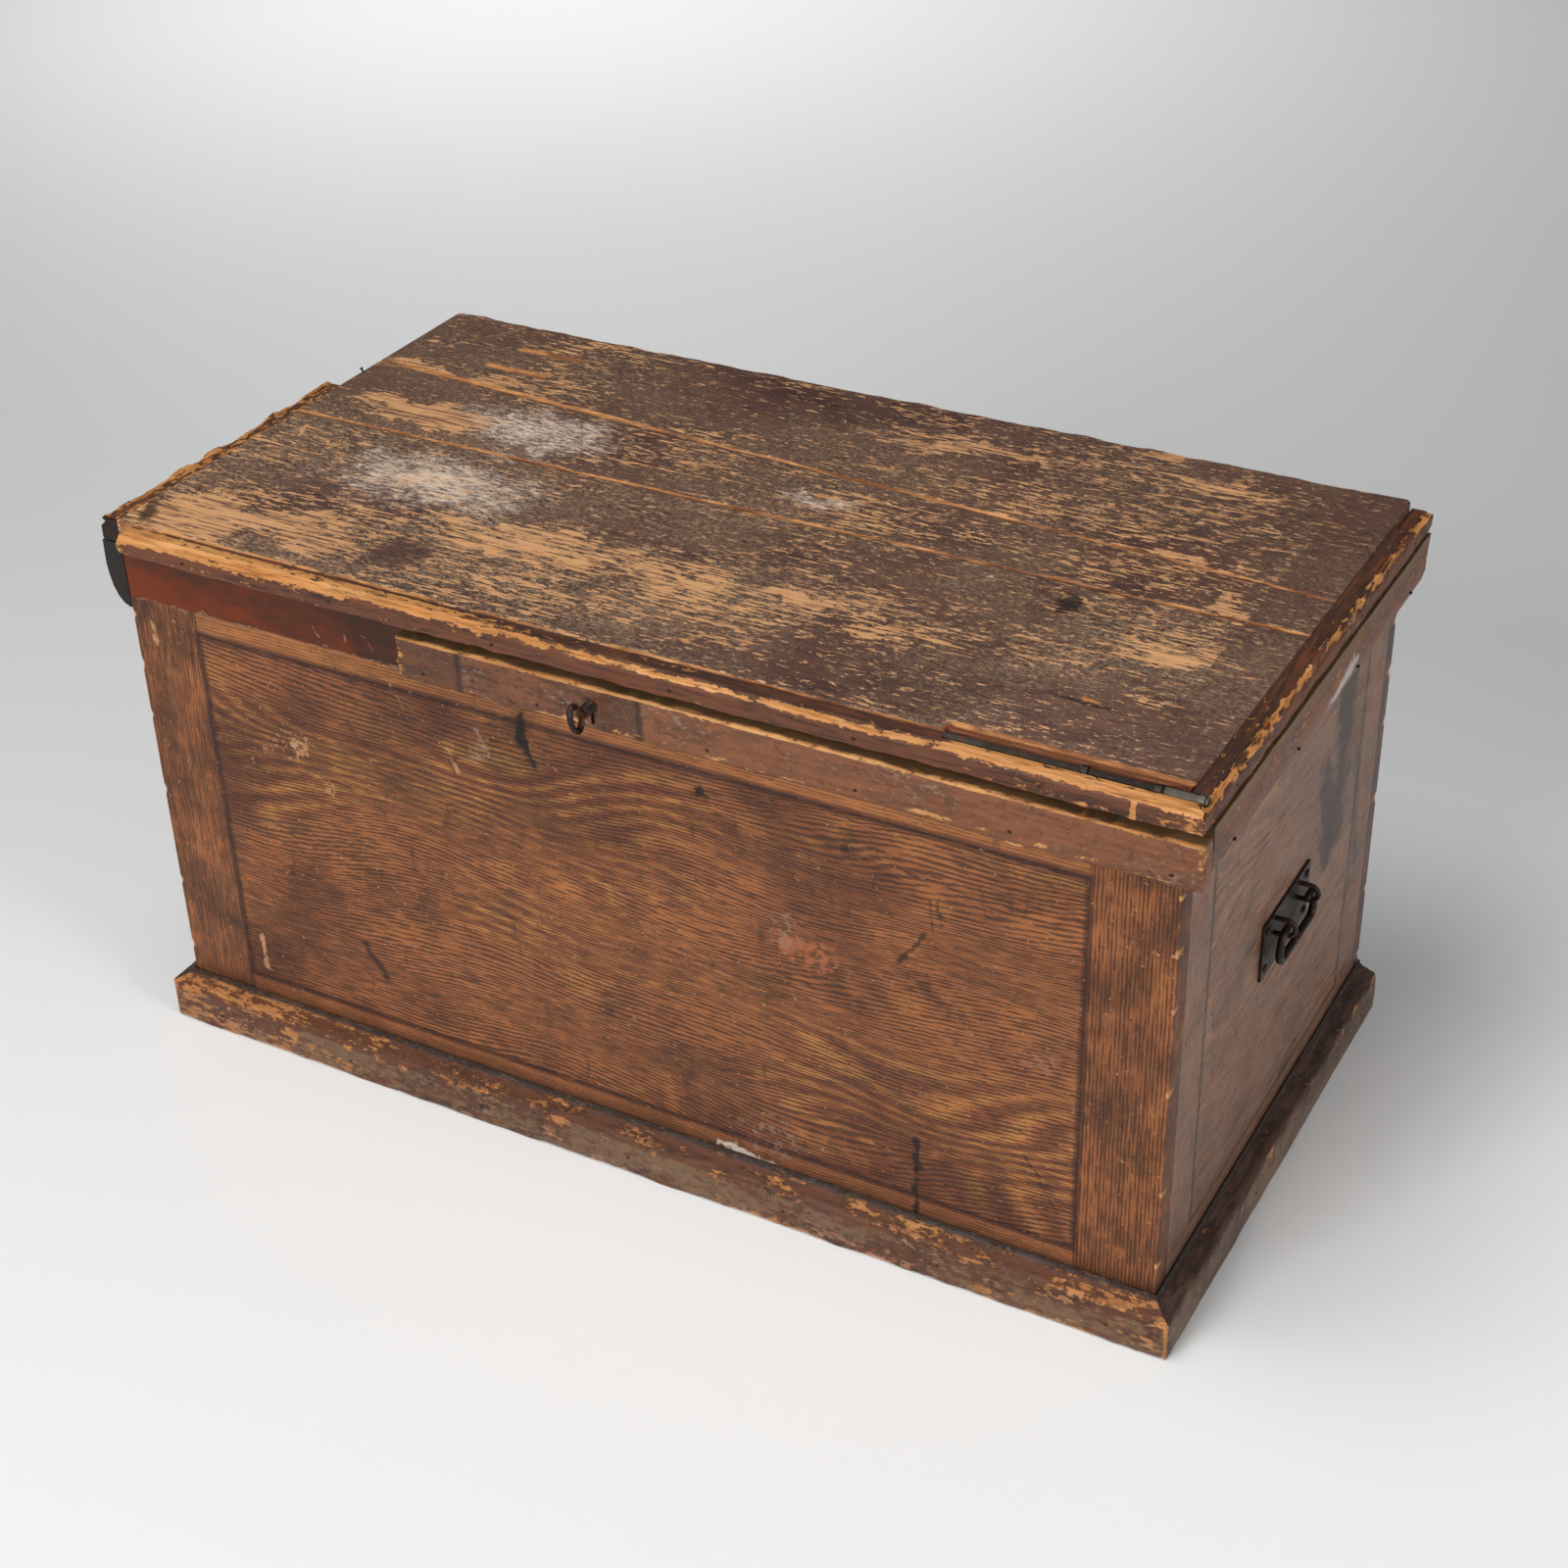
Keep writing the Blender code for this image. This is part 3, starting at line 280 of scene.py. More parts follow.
CORNER_CHIPS = (
    (0.071, 0.005), (0.139, 0.004), (0.231, 0.006),
    (0.304, 0.004), (0.352, 0.006), (0.398, 0.004),
)
CHIP_SHOWS = 0.0005
CORNERS_FROM = 0.44
TOP_RAIL_LOW = 0.399
STRIP_GHOST_LOW = 0.415
STRIP_GHOST_END = -0.1735
AXES = ((1, 0, 0), (0, 1, 0), (0, 0, 1))
SIDES = {"left": -1, "right": 1}
FRONT_MARKS = (
    ((-0.0755, 0.402), (-0.0785, 0.376), 0.0085, RUN_BLACK, 0.95),
    ((-0.0785, 0.378), (-0.0690, 0.364), 0.0075, RUN_BLACK, 0.95),
    ((0.0770, 0.378), (0.0810, 0.378), 0.0080, RUN_BLACK, 0.9),
    ((0.2545, 0.117), (0.2530, 0.044), 0.0050, RUN_BLACK, 0.9),
    ((-0.2540, 0.133), (-0.2370, 0.107), 0.0080, GRIME, 0.8),
    ((0.2590, 0.309), (0.2410, 0.276), 0.0050, GRIME, 0.75),
    ((0.2654, 0.338), (0.2655, 0.315), 0.0032, GRIME, 0.6),
    ((0.2725, 0.340), (0.2726, 0.317), 0.0032, GRIME, 0.6),
    ((0.1980, 0.378), (0.1990, 0.362), 0.0120, GRIME, 0.55),
    ((0.2600, 0.262), (0.2700, 0.255), 0.0150, GRIME, 0.55),
    ((0.3370, 0.139), (0.3715, 0.093), 0.0022, GRIME, 0.7),
    ((-0.4330, 0.392), (-0.4328, 0.375), 0.0050, SCAR_PALE, 0.8),
    ((-0.1480, 0.356), (-0.1406, 0.333), 0.0035, SCAR_PALE, 0.65),
    ((-0.3670, 0.104), (-0.3682, 0.074), 0.0050, SCAR_PALE, 0.8),
    ((0.4370, 0.349), (0.4487, 0.351), 0.0022, SCAR_PALE, 0.8),
    ((-0.2200, 0.441), (-0.1800, 0.365), 0.0011, SCAR_PALE, 0.5),
    ((0.0820, 0.049), (0.1300, 0.043), 0.0060, CHIP_WHITE, 0.8),
)
FRONT_RUBS = (
    (-0.309, 0.314, 0.038, 0.030, SCAR_PALE, 0.49, 0.55, 0.9),
    (-0.118, 0.362, 0.018, 0.016, DUST_GREY, 0.46, 0.56, 0.7),
    (-0.273, 0.280, 0.018, 0.014, SCAR_PALE, 0.50, 0.57, 0.6),
    (0.160, 0.262, 0.050, 0.030, RUB_RED, 0.46, 0.54, 0.8),
    (0.140, 0.275, 0.034, 0.020, DUST_GREY, 0.48, 0.58, 0.55),
    (0.130, 0.075, 0.060, 0.034, DUST_GREY, 0.50, 0.62, 0.5),
    (0.352, 0.229, 0.030, 0.018, RUB_TAN, 0.44, 0.58, 0.6),
)
END_MARKS = (
    ((0.079, 0.330), (0.099, 0.234), 0.022, GRIME, 0.75),
    ((0.121, 0.429), (0.119, 0.260), 0.034, GRIME, 0.75),
    ((0.156, 0.300), (0.184, 0.183), 0.016, GRIME, 0.5),
    ((-0.150, 0.252), (-0.142, 0.182), 0.003, GRIME, 0.5),
    ((-0.124, 0.424), (-0.119, 0.416), 0.004, SCAR_PALE, 0.7),
    ((-0.196, 0.256), (-0.190, 0.240), 0.0018, SCAR_PALE, 0.6),
)


def take_up(piece, mode="OBJECT"):
    """Takes one piece alone in hand, in the given mode."""
    if bpy.context.mode != "OBJECT":
        bpy.ops.object.mode_set(mode="OBJECT")
    bpy.ops.object.select_all(action="DESELECT")
    piece.select_set(True)
    bpy.context.view_layer.objects.active = piece
    bpy.ops.object.mode_set(mode=mode)


def rough_copy(node, name):
    """Copy of a piece as it left the bench, merged and cleared of needless edges, to be worn."""
    piece = bpy.data.objects.new(name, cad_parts[node].data.copy())
    bpy.context.scene.collection.objects.link(piece)
    take_up(piece)
    bpy.ops.mesh.customdata_custom_splitnormals_clear()
    bpy.ops.object.mode_set(mode="EDIT")
    bpy.ops.mesh.select_all(action="SELECT")
    bpy.ops.mesh.remove_doubles(threshold=MERGE)
    bpy.ops.mesh.dissolve_limited(angle_limit=FLAT)
    bpy.ops.object.mode_set(mode="OBJECT")
    return piece


def round_over(piece, width, steps, on_edge):
    """Rounds the sharp edges that on_edge picks by their two ends."""
    take_up(piece, "EDIT")
    bpy.ops.mesh.select_mode(type="EDGE")
    bpy.ops.mesh.select_all(action="DESELECT")
    bpy.ops.mesh.edges_select_sharp(sharpness=SHARP)
    bpy.ops.object.mode_set(mode="OBJECT")
    mesh = piece.data
    chosen = []
    for edge in mesh.edges:
        first, second = [mesh.vertices[index].co for index in edge.vertices]
        if edge.select and on_edge(first, second):
            chosen.append(edge.index)
    for part in (mesh.vertices, mesh.edges, mesh.polygons):
        part.foreach_set("select", [False] * len(part))
    for index in chosen:
        mesh.edges[index].select = True
        for end in mesh.edges[index].vertices:
            mesh.vertices[end].select = True
    bpy.ops.object.mode_set(mode="EDIT")
    bpy.ops.mesh.bevel(offset=width, segments=steps, affect="EDGES", clamp_overlap=True)
    bpy.ops.object.mode_set(mode="OBJECT")


def steps_between(first, last, step):
    """Places from first to last, about one step apart, without the two ends."""
    count = max(2, round((last - first) / step))
    return [first + (last - first) * number / count for number in range(1, count)]


def score(piece, across, places):
    """Cuts a mesh square to a direction at each distance along it, so that it wears in small steps."""
    across = Vector(across)
    take_up(piece, "EDIT")
    for place in places:
        bpy.ops.mesh.select_all(action="SELECT")
        bpy.ops.mesh.bisect(plane_co=across * place, plane_no=across, threshold=MERGE)
    bpy.ops.object.mode_set(mode="OBJECT")


def wear_back(piece, depth, exposed, patch=None, drawn=(1, 1, 1), contrast=2.0, cover=1.0, turn=0.0):
    """Wears a piece back along its normals, in patches if a patch size is given, as far as each
    point is exposed. What each point has lost in all is kept as the mesh's own wear value."""
    mesh = piece.data
    before = [point.co.copy() for point in mesh.vertices]
    group = piece.vertex_groups.new(name="exposed")
    for point in mesh.vertices:
        group.add([point.index], exposed(point.co, point.normal), "REPLACE")
    loss = piece.modifiers.new("loss", "DISPLACE")
    loss.vertex_group = group.name
    loss.mid_level = 0
    loss.strength = -depth
    guide = bpy.data.objects.new("wear_guide", None)
    bpy.context.scene.collection.objects.link(guide)
    guide.scale = drawn
    guide.location = (turn, turn, turn)
    bpy.context.view_layer.update()
    if patch:
        pattern = bpy.data.textures.new("wear_pattern", "CLOUDS")
        pattern.noise_scale = patch
        pattern.noise_depth = 3
        pattern.contrast = contrast
        pattern.intensity = cover
        loss.texture = pattern
        loss.texture_coords = "OBJECT"
        loss.texture_coords_object = guide
    take_up(piece)
    bpy.ops.object.modifier_apply(modifier=loss.name)
    bpy.data.objects.remove(guide)
    piece.vertex_groups.clear()
    lost = mesh.attributes.get("wear") or mesh.attributes.new("wear", "FLOAT", "POINT")
    for point, start, value in zip(mesh.vertices, before, lost.data):
        value.value += (start - point.co).length


def fit_up(piece, material, body, slot, *nodes):
    """Finishes a worn piece and puts it in the place of its plain one."""
    dress(piece, material)
    take_up(piece)
    bpy.ops.object.shade_smooth_by_angle(angle=SMOOTH)
    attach(piece, body)
    if nodes:
        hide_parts(*nodes)


def worn_depth(finish):
    """How far the surface has been worn back, in metres."""
    return Field(finish, finish.add("Attribute", attribute_name="wear").outputs["Fac"])


def mark(finish, colour, paint, start, end, width, strength=0.9, seed=0.0):
    """Lays a frayed, wavering stroke of another colour over a colour."""
    fray = finish.noise(width * 1.4, detail=4, rough=0.7, seed=seed)
    edge = finish.stroke(start, end, finish.strayed(0.020, 0.016)) + (fray - 0.5) * width * 2.2
    return finish.blend(colour, paint, edge.rise(width * 0.75, width * 0.25) * strength)


def panel_border(finish, across, half_panel):
    """Distance from the painted panel's outline, below 0 inside it."""
    return (abs(across) - half_panel).most(abs(finish.z - PANEL_MIDDLE) - PANEL_HALF_HEIGHT)


def oak_graining(finish, along, half_panel, seed=0.0):
    """Painted oak: a panel with flamed heart grain, combed stiles and rails, a dark line between."""
    across = (finish.x, finish.y)[along]
    sweep = finish.noise(0.085, drawn_out(along, 0.28), detail=1, rough=0.4, seed=seed)
    waver = finish.noise(0.022, drawn_out(along, 0.30), detail=4, rough=0.65, seed=seed + 2)
    inside = (half_panel - abs(across)).rise(-0.0004, 0.0004)
    framed = (PANEL_HALF_HEIGHT - abs(finish.z - PANEL_MIDDLE)).rise(-0.0004, 0.0004)
    panel = inside * framed
    turn = math.tau / COMB_PITCH
    figured = finish.z + sweep * 0.07 + waver * 0.005
    upright = across + waver * 0.0016
    rail = finish.z + waver * 0.0016
    level = figured * framed + rail * (1 - framed)
    comb = ((level * inside + upright * (1 - inside)) * turn).sine()
    flame = ((finish.z * 0.7 + sweep * 0.17 + waver * 0.006) * (math.tau / FLAME_PITCH)).sine()
    heart = finish.noise(0.15, drawn_out(along, 0.45), detail=2, seed=seed + 3).rise(0.40, 0.57) * panel

    dashes = finish.noise(0.0022, drawn_out(along, 0.10), detail=2, seed=seed + 4)
    ticks = finish.noise(0.0022, (1, 1, 0.10), detail=2, seed=seed + 5)
    broken = dashes * inside + ticks * (1 - inside)
    cloud = finish.noise(0.17, detail=4, rough=0.65, seed=seed + 6)
    fill = finish.noise(0.030, drawn_out(along, 0.25), detail=4, rough=0.65, seed=seed + 7)
    rubs = finish.noise(0.012, (1, 1, 0.16), detail=4, rough=0.65, seed=seed + 10)
    ground = finish.blend(OAK_GROUND, OAK_LIGHT, fill * panel + rubs * (1 - inside) + inside * (1 - framed))
    gold = finish.z.rise(0.06, 0.26) * 0.5 + 0.35
    ground = finish.blend(ground, OAK_GOLD, (flame + (fill - 0.5) * 3.2).rise(0.0, 1.0) * heart * gold)
    ground = finish.blend(ground, OAK_RED, (flame + (fill - 0.5) * 3.2).rise(0.0, -1.0) * heart * 0.7)
    ground = finish.blend(ground, OAK_RED, cloud.rise(0.44, 0.66) * (panel * 0.5 + 0.35))
    lines = (comb * 0.15 + broken + (fill - 0.5) * 0.4).rise(0.42, 0.64)
    colour = finish.blend(ground, OAK_DARK, lines * (panel * 0.44 + (1 - inside) * 0.38 + 0.34))
    handled = finish.noise(0.055, detail=5, rough=0.65, seed=seed + 12)
    colour = finish.blend(colour, OAK_DARK, handled.rise(0.38, 0.64) * ((1 - inside) * 0.44 + 0.20))

    border = panel_border(finish, across, half_panel)
    ragged = finish.noise(0.014, detail=4, rough=0.65, seed=seed + 8)
    edge = abs(border + (ragged - 0.5) * 0.0020)
    line = edge.rise(LINE_HALF_WIDTH + 0.0022, LINE_HALF_WIDTH - 0.0016)
    colour = finish.blend(colour, LINE_BROWN, line * (ragged * 0.4 + 0.55))
    return colour, lines


def grimy(finish, colour, seed=0.0):
    """Hand grime, spots and nicks, and a darkening towards the bottom, just above the plinth."""
    stains = finish.noise(0.09, detail=5, rough=0.68, seed=seed)
    colour = finish.blend(colour, GRIME, stains.rise(0.50, 0.78) * 0.55)
    smears = finish.noise(0.014, (1, 1, 0.35), detail=5, rough=0.7, seed=seed + 2)
    colour = finish.blend(colour, GRIME, smears.rise(0.56, 0.74) * 0.6)
    flecks = finish.noise(0.0045, detail=4, rough=0.75, seed=seed + 1)
    colour = finish.blend(colour, GRIME, flecks.rise(0.61, 0.68) * 0.75)
    chips = finish.noise(0.0042, detail=4, rough=0.75, seed=seed + 9)
    colour = finish.blend(colour, SCAR_PALE, (chips + stains * 0.1).rise(0.695, 0.73) * 0.75)
    # Darker towards the bottom of the board, above the plinth.
    low = finish.z + (stains - 0.5) * 0.03
    return finish.blend(colour, GRIME, low.rise(0.064, 0.044) * 0.55)


case_low, case_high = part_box("front_board")
back_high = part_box("back_board")[1]


def over_pine(finish, paint, face, outward, seed, fray):
    """Keeps paint to a long board's outer face and its ends, and chips it to the pine at the corners.
    Also gives the pine's relief."""
    wood, rings = pine(finish, 0, seed)
    inner, _ = aged_pine(finish, 0, seed + 1)
    outside = ((finish.y - face) * outward + CORNER_ROUND).rise(-FACE_SKIN / 2, FACE_SKIN / 2)
    cheek = (abs(finish.x) - (case_high.x - FACE_SKIN)).rise(-FACE_SKIN / 2, FACE_SKIN / 2)
    chipped = (worn_depth(finish) + (rings - 0.5) * fray).rise(CHIP_SHOWS * 0.7, CHIP_SHOWS * 1.5)
    paint = finish.blend(paint, wood, chipped)
    return finish.blend(inner, paint, outside.most(cheek)), rings


def front_spot(x, z):
    """Place on the face of the front board."""
    return (x, case_low.y, z)


front_finish = Finish("front_oak_graining")
oak, combed = oak_graining(front_finish, 0, FRONT_PANEL_HALF)
oak = grimy(front_finish, oak, seed=11)

# Painted light: the top rail under the strip is lightened with gold, to make up for the shade that the strip
# and lid cast on it.
top_rail_light = (front_finish.z - TOP_RAIL_LOW).rise(-0.001, 0.003)
top_rail_light = top_rail_light * (FRONT_PANEL_HALF - abs(front_finish.x)).rise(-0.001, 0.001)
oak = front_finish.blend(oak, OAK_GOLD, top_rail_light * (1 - combed) * 0.2)
strip_ghost = (front_finish.z - STRIP_GHOST_LOW).rise(-0.0003, 0.0003)
strip_ghost = strip_ghost * (front_finish.x - STRIP_GHOST_END).rise(0.0004, -0.0004)
ghost_stain = front_finish.noise(0.05, (0.4, 1, 1), detail=4, rough=0.65, seed=71)
ghost = front_finish.blend(UNDER_STRIP_RED, UNDER_STRIP_DARK, ghost_stain.rise(0.38, 0.62))
darker_end = front_finish.x.rise(-0.236, -0.222) * front_finish.x.rise(-0.172, -0.180)
ghost = front_finish.blend(ghost, GRIME, darker_end * 0.55)
oak = front_finish.blend(oak, ghost, strip_ghost)
for start, end in (((-0.266, 0.432), (-0.258, 0.421)), ((-0.236, 0.435), (-0.232, 0.414))):
    oak = mark(front_finish, oak, SCAR_PALE, front_spot(*start), front_spot(*end), 0.0014, 0.6)
# Dust on the board's face in the narrow gap under the lipping, lightened as painted light where the gap would
# lie in shade.
gap_dust_and_light = front_finish.z.rise(0.4530, 0.4545) * front_finish.x.rise(-0.176, -0.172)
oak = front_finish.blend(oak, GAP_DUST_AND_LIGHT, gap_dust_and_light * 0.8)
oak = mark(front_finish, oak, DUST_GREY, front_spot(-0.45, 0.4145), front_spot(-0.172, 0.4145), 0.0016, 0.6)

for start, end, width, paint, strength in FRONT_MARKS:
    oak = mark(front_finish, oak, paint, front_spot(*start), front_spot(*end), width, strength)

for x, z, reach_x, reach_z, paint, low, high, strength in FRONT_RUBS:
    rubbed = front_finish.noise(0.007, detail=4, rough=0.7, seed=90 + x)
    strayed = front_finish.strayed(0.02, 0.05)
    near = front_finish.away(front_spot(x, z), (reach_x, 1, reach_z), strayed).rise(1.0, 0.3)
    oak = front_finish.blend(oak, paint, (rubbed + near * 0.12 - 0.12).rise(low, high) * near * strength)

oak, _ = over_pine(front_finish, oak, case_low.y, -1, seed=4, fray=0.0012)
combed = combed * (1 - strip_ghost)
front_material = front_finish.coat(oak, PAINT_ROUGHNESS, combed, PAINT_RELIEF, PAINT_GLOSS)


def corner_exposure(shift):
    """Small chips up a case corner, shifted so that no two corners are alike."""
    def exposed(co, normal):
        near_side = abs(co.x) > case_high.x - 2 * CORNER_ROUND
        near_face = min(co.y - case_low.y, back_high.y - co.y) < 2 * CORNER_ROUND
        if not (near_side and near_face):
            return 0.0
        shifted = co.z + shift * (1 if co.x > 0 else -0.7)
        nearest = min(abs(shifted - place) / reach for place, reach in CORNER_CHIPS)
        return max(0.0, 1 - nearest * nearest)
    return exposed


def worn_board(node, name, face, shift, material):
    """Rounds the upright corners of a board on its outer face, and chips them."""
    def upright_corner(a, b):
        at_face = max(abs(a.y - face), abs(b.y - face)) < MERGE
        return at_face and a.x == b.x and abs(a.x) > CORNERS_FROM

    board = rough_copy(node, name)
    low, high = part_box(node)
    round_over(board, CORNER_ROUND, 2, upright_corner)
    score(board, AXES[0], [sign * (case_high.x - band) for sign in (-1, 1) for band in CORNER_BANDS])
    score(board, AXES[2], steps_between(low.z, high.z, CORNER_STEP))
    wear_back(board, CORNER_CHIP, corner_exposure(shift))
    fit_up(board, material, "case", "grained_paint", node)


worn_board("front_board", "front_panel", case_low.y, 0.0, front_material)


def end_graining(side, sign):
    """End of the case: the same graining gone grey-brown, streaked from front to back, the grey streaks
    partly a painted sheen.
    """
    finish = Finish(side + "_end_graining")
    oak, combed = oak_graining(finish, 1, END_PANEL_HALF, seed=20 + sign)
    streaks = finish.noise(0.006, drawn_out(1, 0.10), detail=4, rough=0.65, seed=24 + sign)
    # Grey streaks: faded paint, together with a painted grey sheen as of light glancing off the end.
    oak = finish.blend(oak, END_GREY_AND_SHEEN, streaks.rise(0.25, 0.62) * 0.75)
    ticks = finish.noise(0.0032, drawn_out(1, 0.16), detail=3, rough=0.6, seed=26 + sign)
    oak = finish.blend(oak, OAK_DARK, ticks.rise(0.56, 0.66) * 0.45)
    oak = finish.blend(oak, OAK_LIGHT, ticks.rise(0.40, 0.30) * 0.35)
    border = panel_border(finish, finish.y, END_PANEL_HALF)
    oak = finish.blend(oak, RUN_BLACK, abs(border + (streaks - 0.5) * 0.002).rise(0.0045, 0.0010) * 0.42)
    oak = grimy(finish, oak, seed=30 + sign)
    face = sign * case_high.x
    for start, end, width, paint, strength in END_MARKS:
        oak = mark(finish, oak, paint, (face, *start), (face, *end), width, strength)
    inner, _ = aged_pine(finish, 1, seed=6 + sign)
    painted = (finish.x * sign - (case_high.x - FACE_SKIN)).rise(-FACE_SKIN / 2, FACE_SKIN / 2)
    oak = finish.blend(inner, oak, painted)
    return finish.coat(oak, PAINT_ROUGHNESS - 0.04, combed, PAINT_RELIEF)


for side, sign in SIDES.items():
    dress(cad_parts[side + "_end_board"], end_graining(side, sign))

back_finish = Finish("back_plain_paint")
brushed = back_finish.noise(0.02, (0.06, 1, 1), detail=4)
plain = back_finish.blend(OAK_RED, OAK_DARK, brushed.rise(0.35, 0.7))
plain = grimy(back_finish, plain, seed=41)
plain, rings = over_pine(back_finish, plain, back_high.y, 1, seed=9, fray=0.0006)
back_material = back_finish.coat(plain, PAINT_ROUGHNESS, rings, PAINT_RELIEF)
worn_board("back_board", "back_panel", back_high.y, 0.018, back_material)


# Plinth
# Pine moulding nailed round the foot on three sides, mitred at the front corners.
# Boots and brooms have worn its brown paint to the wood; dirt lies in the hollow above.
PLINTH_BROWN = "5c3420"
PLINTH_DARK = "3a2319"
SIDE_BROWNS = ("523b30", "33251f")
PLINTH_OLIVE = "876e52"
PLINTH_BARE = "ab6c3d"
PLINTH_PINK = "b27f66"
PLINTH_ROUGHNESS = 0.5
MOULDING_RELIEF = 0.0008
MOULDING_STEP = 0.0040
PLINTH_FOOT = 0.0030
PLINTH_NOSE = 0.0016
PLINTH_CORNERS = ((-1, 0.011), (1, 0.006))
PLINTH_ARRIS = 0.0015
PLINTH_CUTS = (0.006, 0.012, 0.018)
PLINTH_SCUFF = 0.0006
FOOT_REACH = 0.010
SCUFF_LOW = 0.001
NOSE_LOW = 0.020
NOSE_HIGH = 0.0345
END_FOOT_SHARE = 0.3
LONG_EDGE = 0.1
plinth_low, plinth_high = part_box("front_plinth")


def plinth_finish(name, along, seed, bareness, browns=(PLINTH_BROWN, PLINTH_DARK)):
    """Brown paint over pine, blotched bare, dusty, and black in the hollow."""
    finish = Finish(name)
    wood, rings = pine(finish, along, seed)
    wood = finish.blend(wood, PLINTH_BARE, 0.6)
    streaks = finish.noise(0.0045, drawn_out(along, 0.14), detail=5, rough=0.7, seed=seed + 1)
    patches = finish.noise(0.030, drawn_out(along, 0.6), detail=5, rough=0.7, seed=seed + 2)
    crumbs = finish.noise(0.005, drawn_out(along, 0.6), detail=5, rough=0.75, seed=seed + 5)
    paint = finish.blend(*browns, (patches * 0.4 + streaks * 0.6).rise(0.44, 0.56))
    dust = finish.noise(0.06, drawn_out(along, 0.5), detail=5, rough=0.7, seed=seed + 3)
    dusty = (dust * 0.35 + crumbs * 0.35 + streaks * 0.30).rise(0.46, 0.55) * finish.z.rise(0.034, 0.028)
    paint = finish.blend(paint, PLINTH_OLIVE, dusty * 0.5)
    pink = finish.noise(0.07, drawn_out(along, 0.5), detail=3, seed=seed + 6).rise(0.50, 0.62)
    wood = finish.blend(wood, PLINTH_PINK, pink * finish.z.rise(0.034, 0.028) * 0.75)
    wood = finish.blend(wood, PLINTH_DARK, streaks.rise(0.52, 0.66) * 0.65)
    loss = streaks * 0.35 + patches * 0.35 + crumbs * 0.30 + bareness(finish)
    bare = loss.rise(0.535, 0.575)
    bare = bare.most((worn_depth(finish) + (crumbs - 0.5) * 0.0045).rise(0.0011, 0.0016))
    colour = finish.blend(paint, wood, bare * 0.9)
    hollow = (finish.z + (crumbs - 0.5) * 0.004).rise(0.0405, 0.0425)
    fluff = finish.noise(0.0022, drawn_out(along, 0.3), detail=4, rough=0.7, seed=seed + 4)
    dirt = finish.blend(GRIME, DUST_GREY, fluff.rise(0.58, 0.70) * 0.5)
    colour = finish.blend(colour, dirt, hollow * 0.9)
    return finish.coat(colour, PLINTH_ROUGHNESS, rings * 0.4 + crumbs * 0.3 - bare * 0.5, MOULDING_RELIEF)


def knock_round(piece, axes, corner, side, radius):
    """Wears an outer edge round, as seen along the third axis, and counts that as wear."""
    side = Vector(side)
    middle = Vector(corner) - side * radius
    lost = piece.data.attributes["wear"]
    for point, value in zip(piece.data.vertices, lost.data):
        reach = (Vector([point.co[axis] for axis in axes]) - middle) * side
        if min(reach) > 0 and reach.length > radius:
            moved = (reach - reach.normalized() * radius) * side
            for axis, step in zip(axes, moved):
                point.co[axis] -= step
            value.value += moved.length


def plinth_wear(piece, along, foot):
    """Wears the foot wavy by up to the given depth, the nose in patches and the front corners round."""
    low, high = (plinth_low.x, plinth_high.x) if along == 0 else (plinth_low.y, back_high.y)
    lower_edge = lambda a, b: max(a.z, b.z) < MERGE and abs(a[along] - b[along]) > LONG_EDGE
    round_over(piece, PLINTH_ARRIS, 2, lower_edge)
    score(piece, AXES[2], PLINTH_CUTS)
    score(piece, AXES[along], steps_between(low, high, MOULDING_STEP))
    grain = drawn_out(along, 3)
    at_foot = lambda co, n: max(0.0, 1 - co.z / FOOT_REACH) * (n.z < 0.5)
    at_nose = lambda co, n: float(NOSE_LOW < co.z < NOSE_HIGH)
    off_floor = lambda co, n: float(co.z > SCUFF_LOW)
    wear_back(piece, foot, at_foot, patch=0.014, drawn=grain, contrast=1.6, cover=0.85, turn=0.2)
    wear_back(piece, PLINTH_NOSE, at_nose, patch=0.008, drawn=grain, contrast=3.0, cover=0.6, turn=0.7)
    wear_back(piece, PLINTH_SCUFF, off_floor, patch=0.004, drawn=grain, contrast=1.2, turn=1.1)
    for side, radius in PLINTH_CORNERS:
        knock_round(piece, (0, 1), (side * plinth_high.x, plinth_low.y), (side, -1), radius)


def front_bareness(finish):
    """The left of the front has lost most paint, then the lower half."""
    left = finish.x.rise(-0.18, -0.40) * 0.055
    low = finish.z.rise(0.026, 0.006) * 0.02
    right = finish.x.rise(0.10, 0.30) * 0.022
    bead = finish.z.rise(0.030, 0.034) * 0.032
    return left + low + right + bead - 0.015


def end_bareness(finish):
    """The ends have kept most of their paint, but for the bead along the top."""
    return finish.z.rise(0.022, 0.034) * 0.03 - 0.06


front_plinth = rough_copy("front_plinth", "front_plinth_worn")
plinth_wear(front_plinth, 0, PLINTH_FOOT)
plinth_paint = plinth_finish("front_plinth_paint", 0, 50, front_bareness)
fit_up(front_plinth, plinth_paint, "case", "moulding_paint", "front_plinth")
for side in SIDES:
    end_plinth = rough_copy(side + "_plinth", side + "_plinth_worn")
    plinth_wear(end_plinth, 1, PLINTH_FOOT * END_FOOT_SHARE)
    plinth_paint = plinth_finish(side + "_plinth_paint", 1, 60, end_bareness, SIDE_BROWNS)
    fit_up(end_plinth, plinth_paint, "case", "moulding_paint", side + "_plinth")


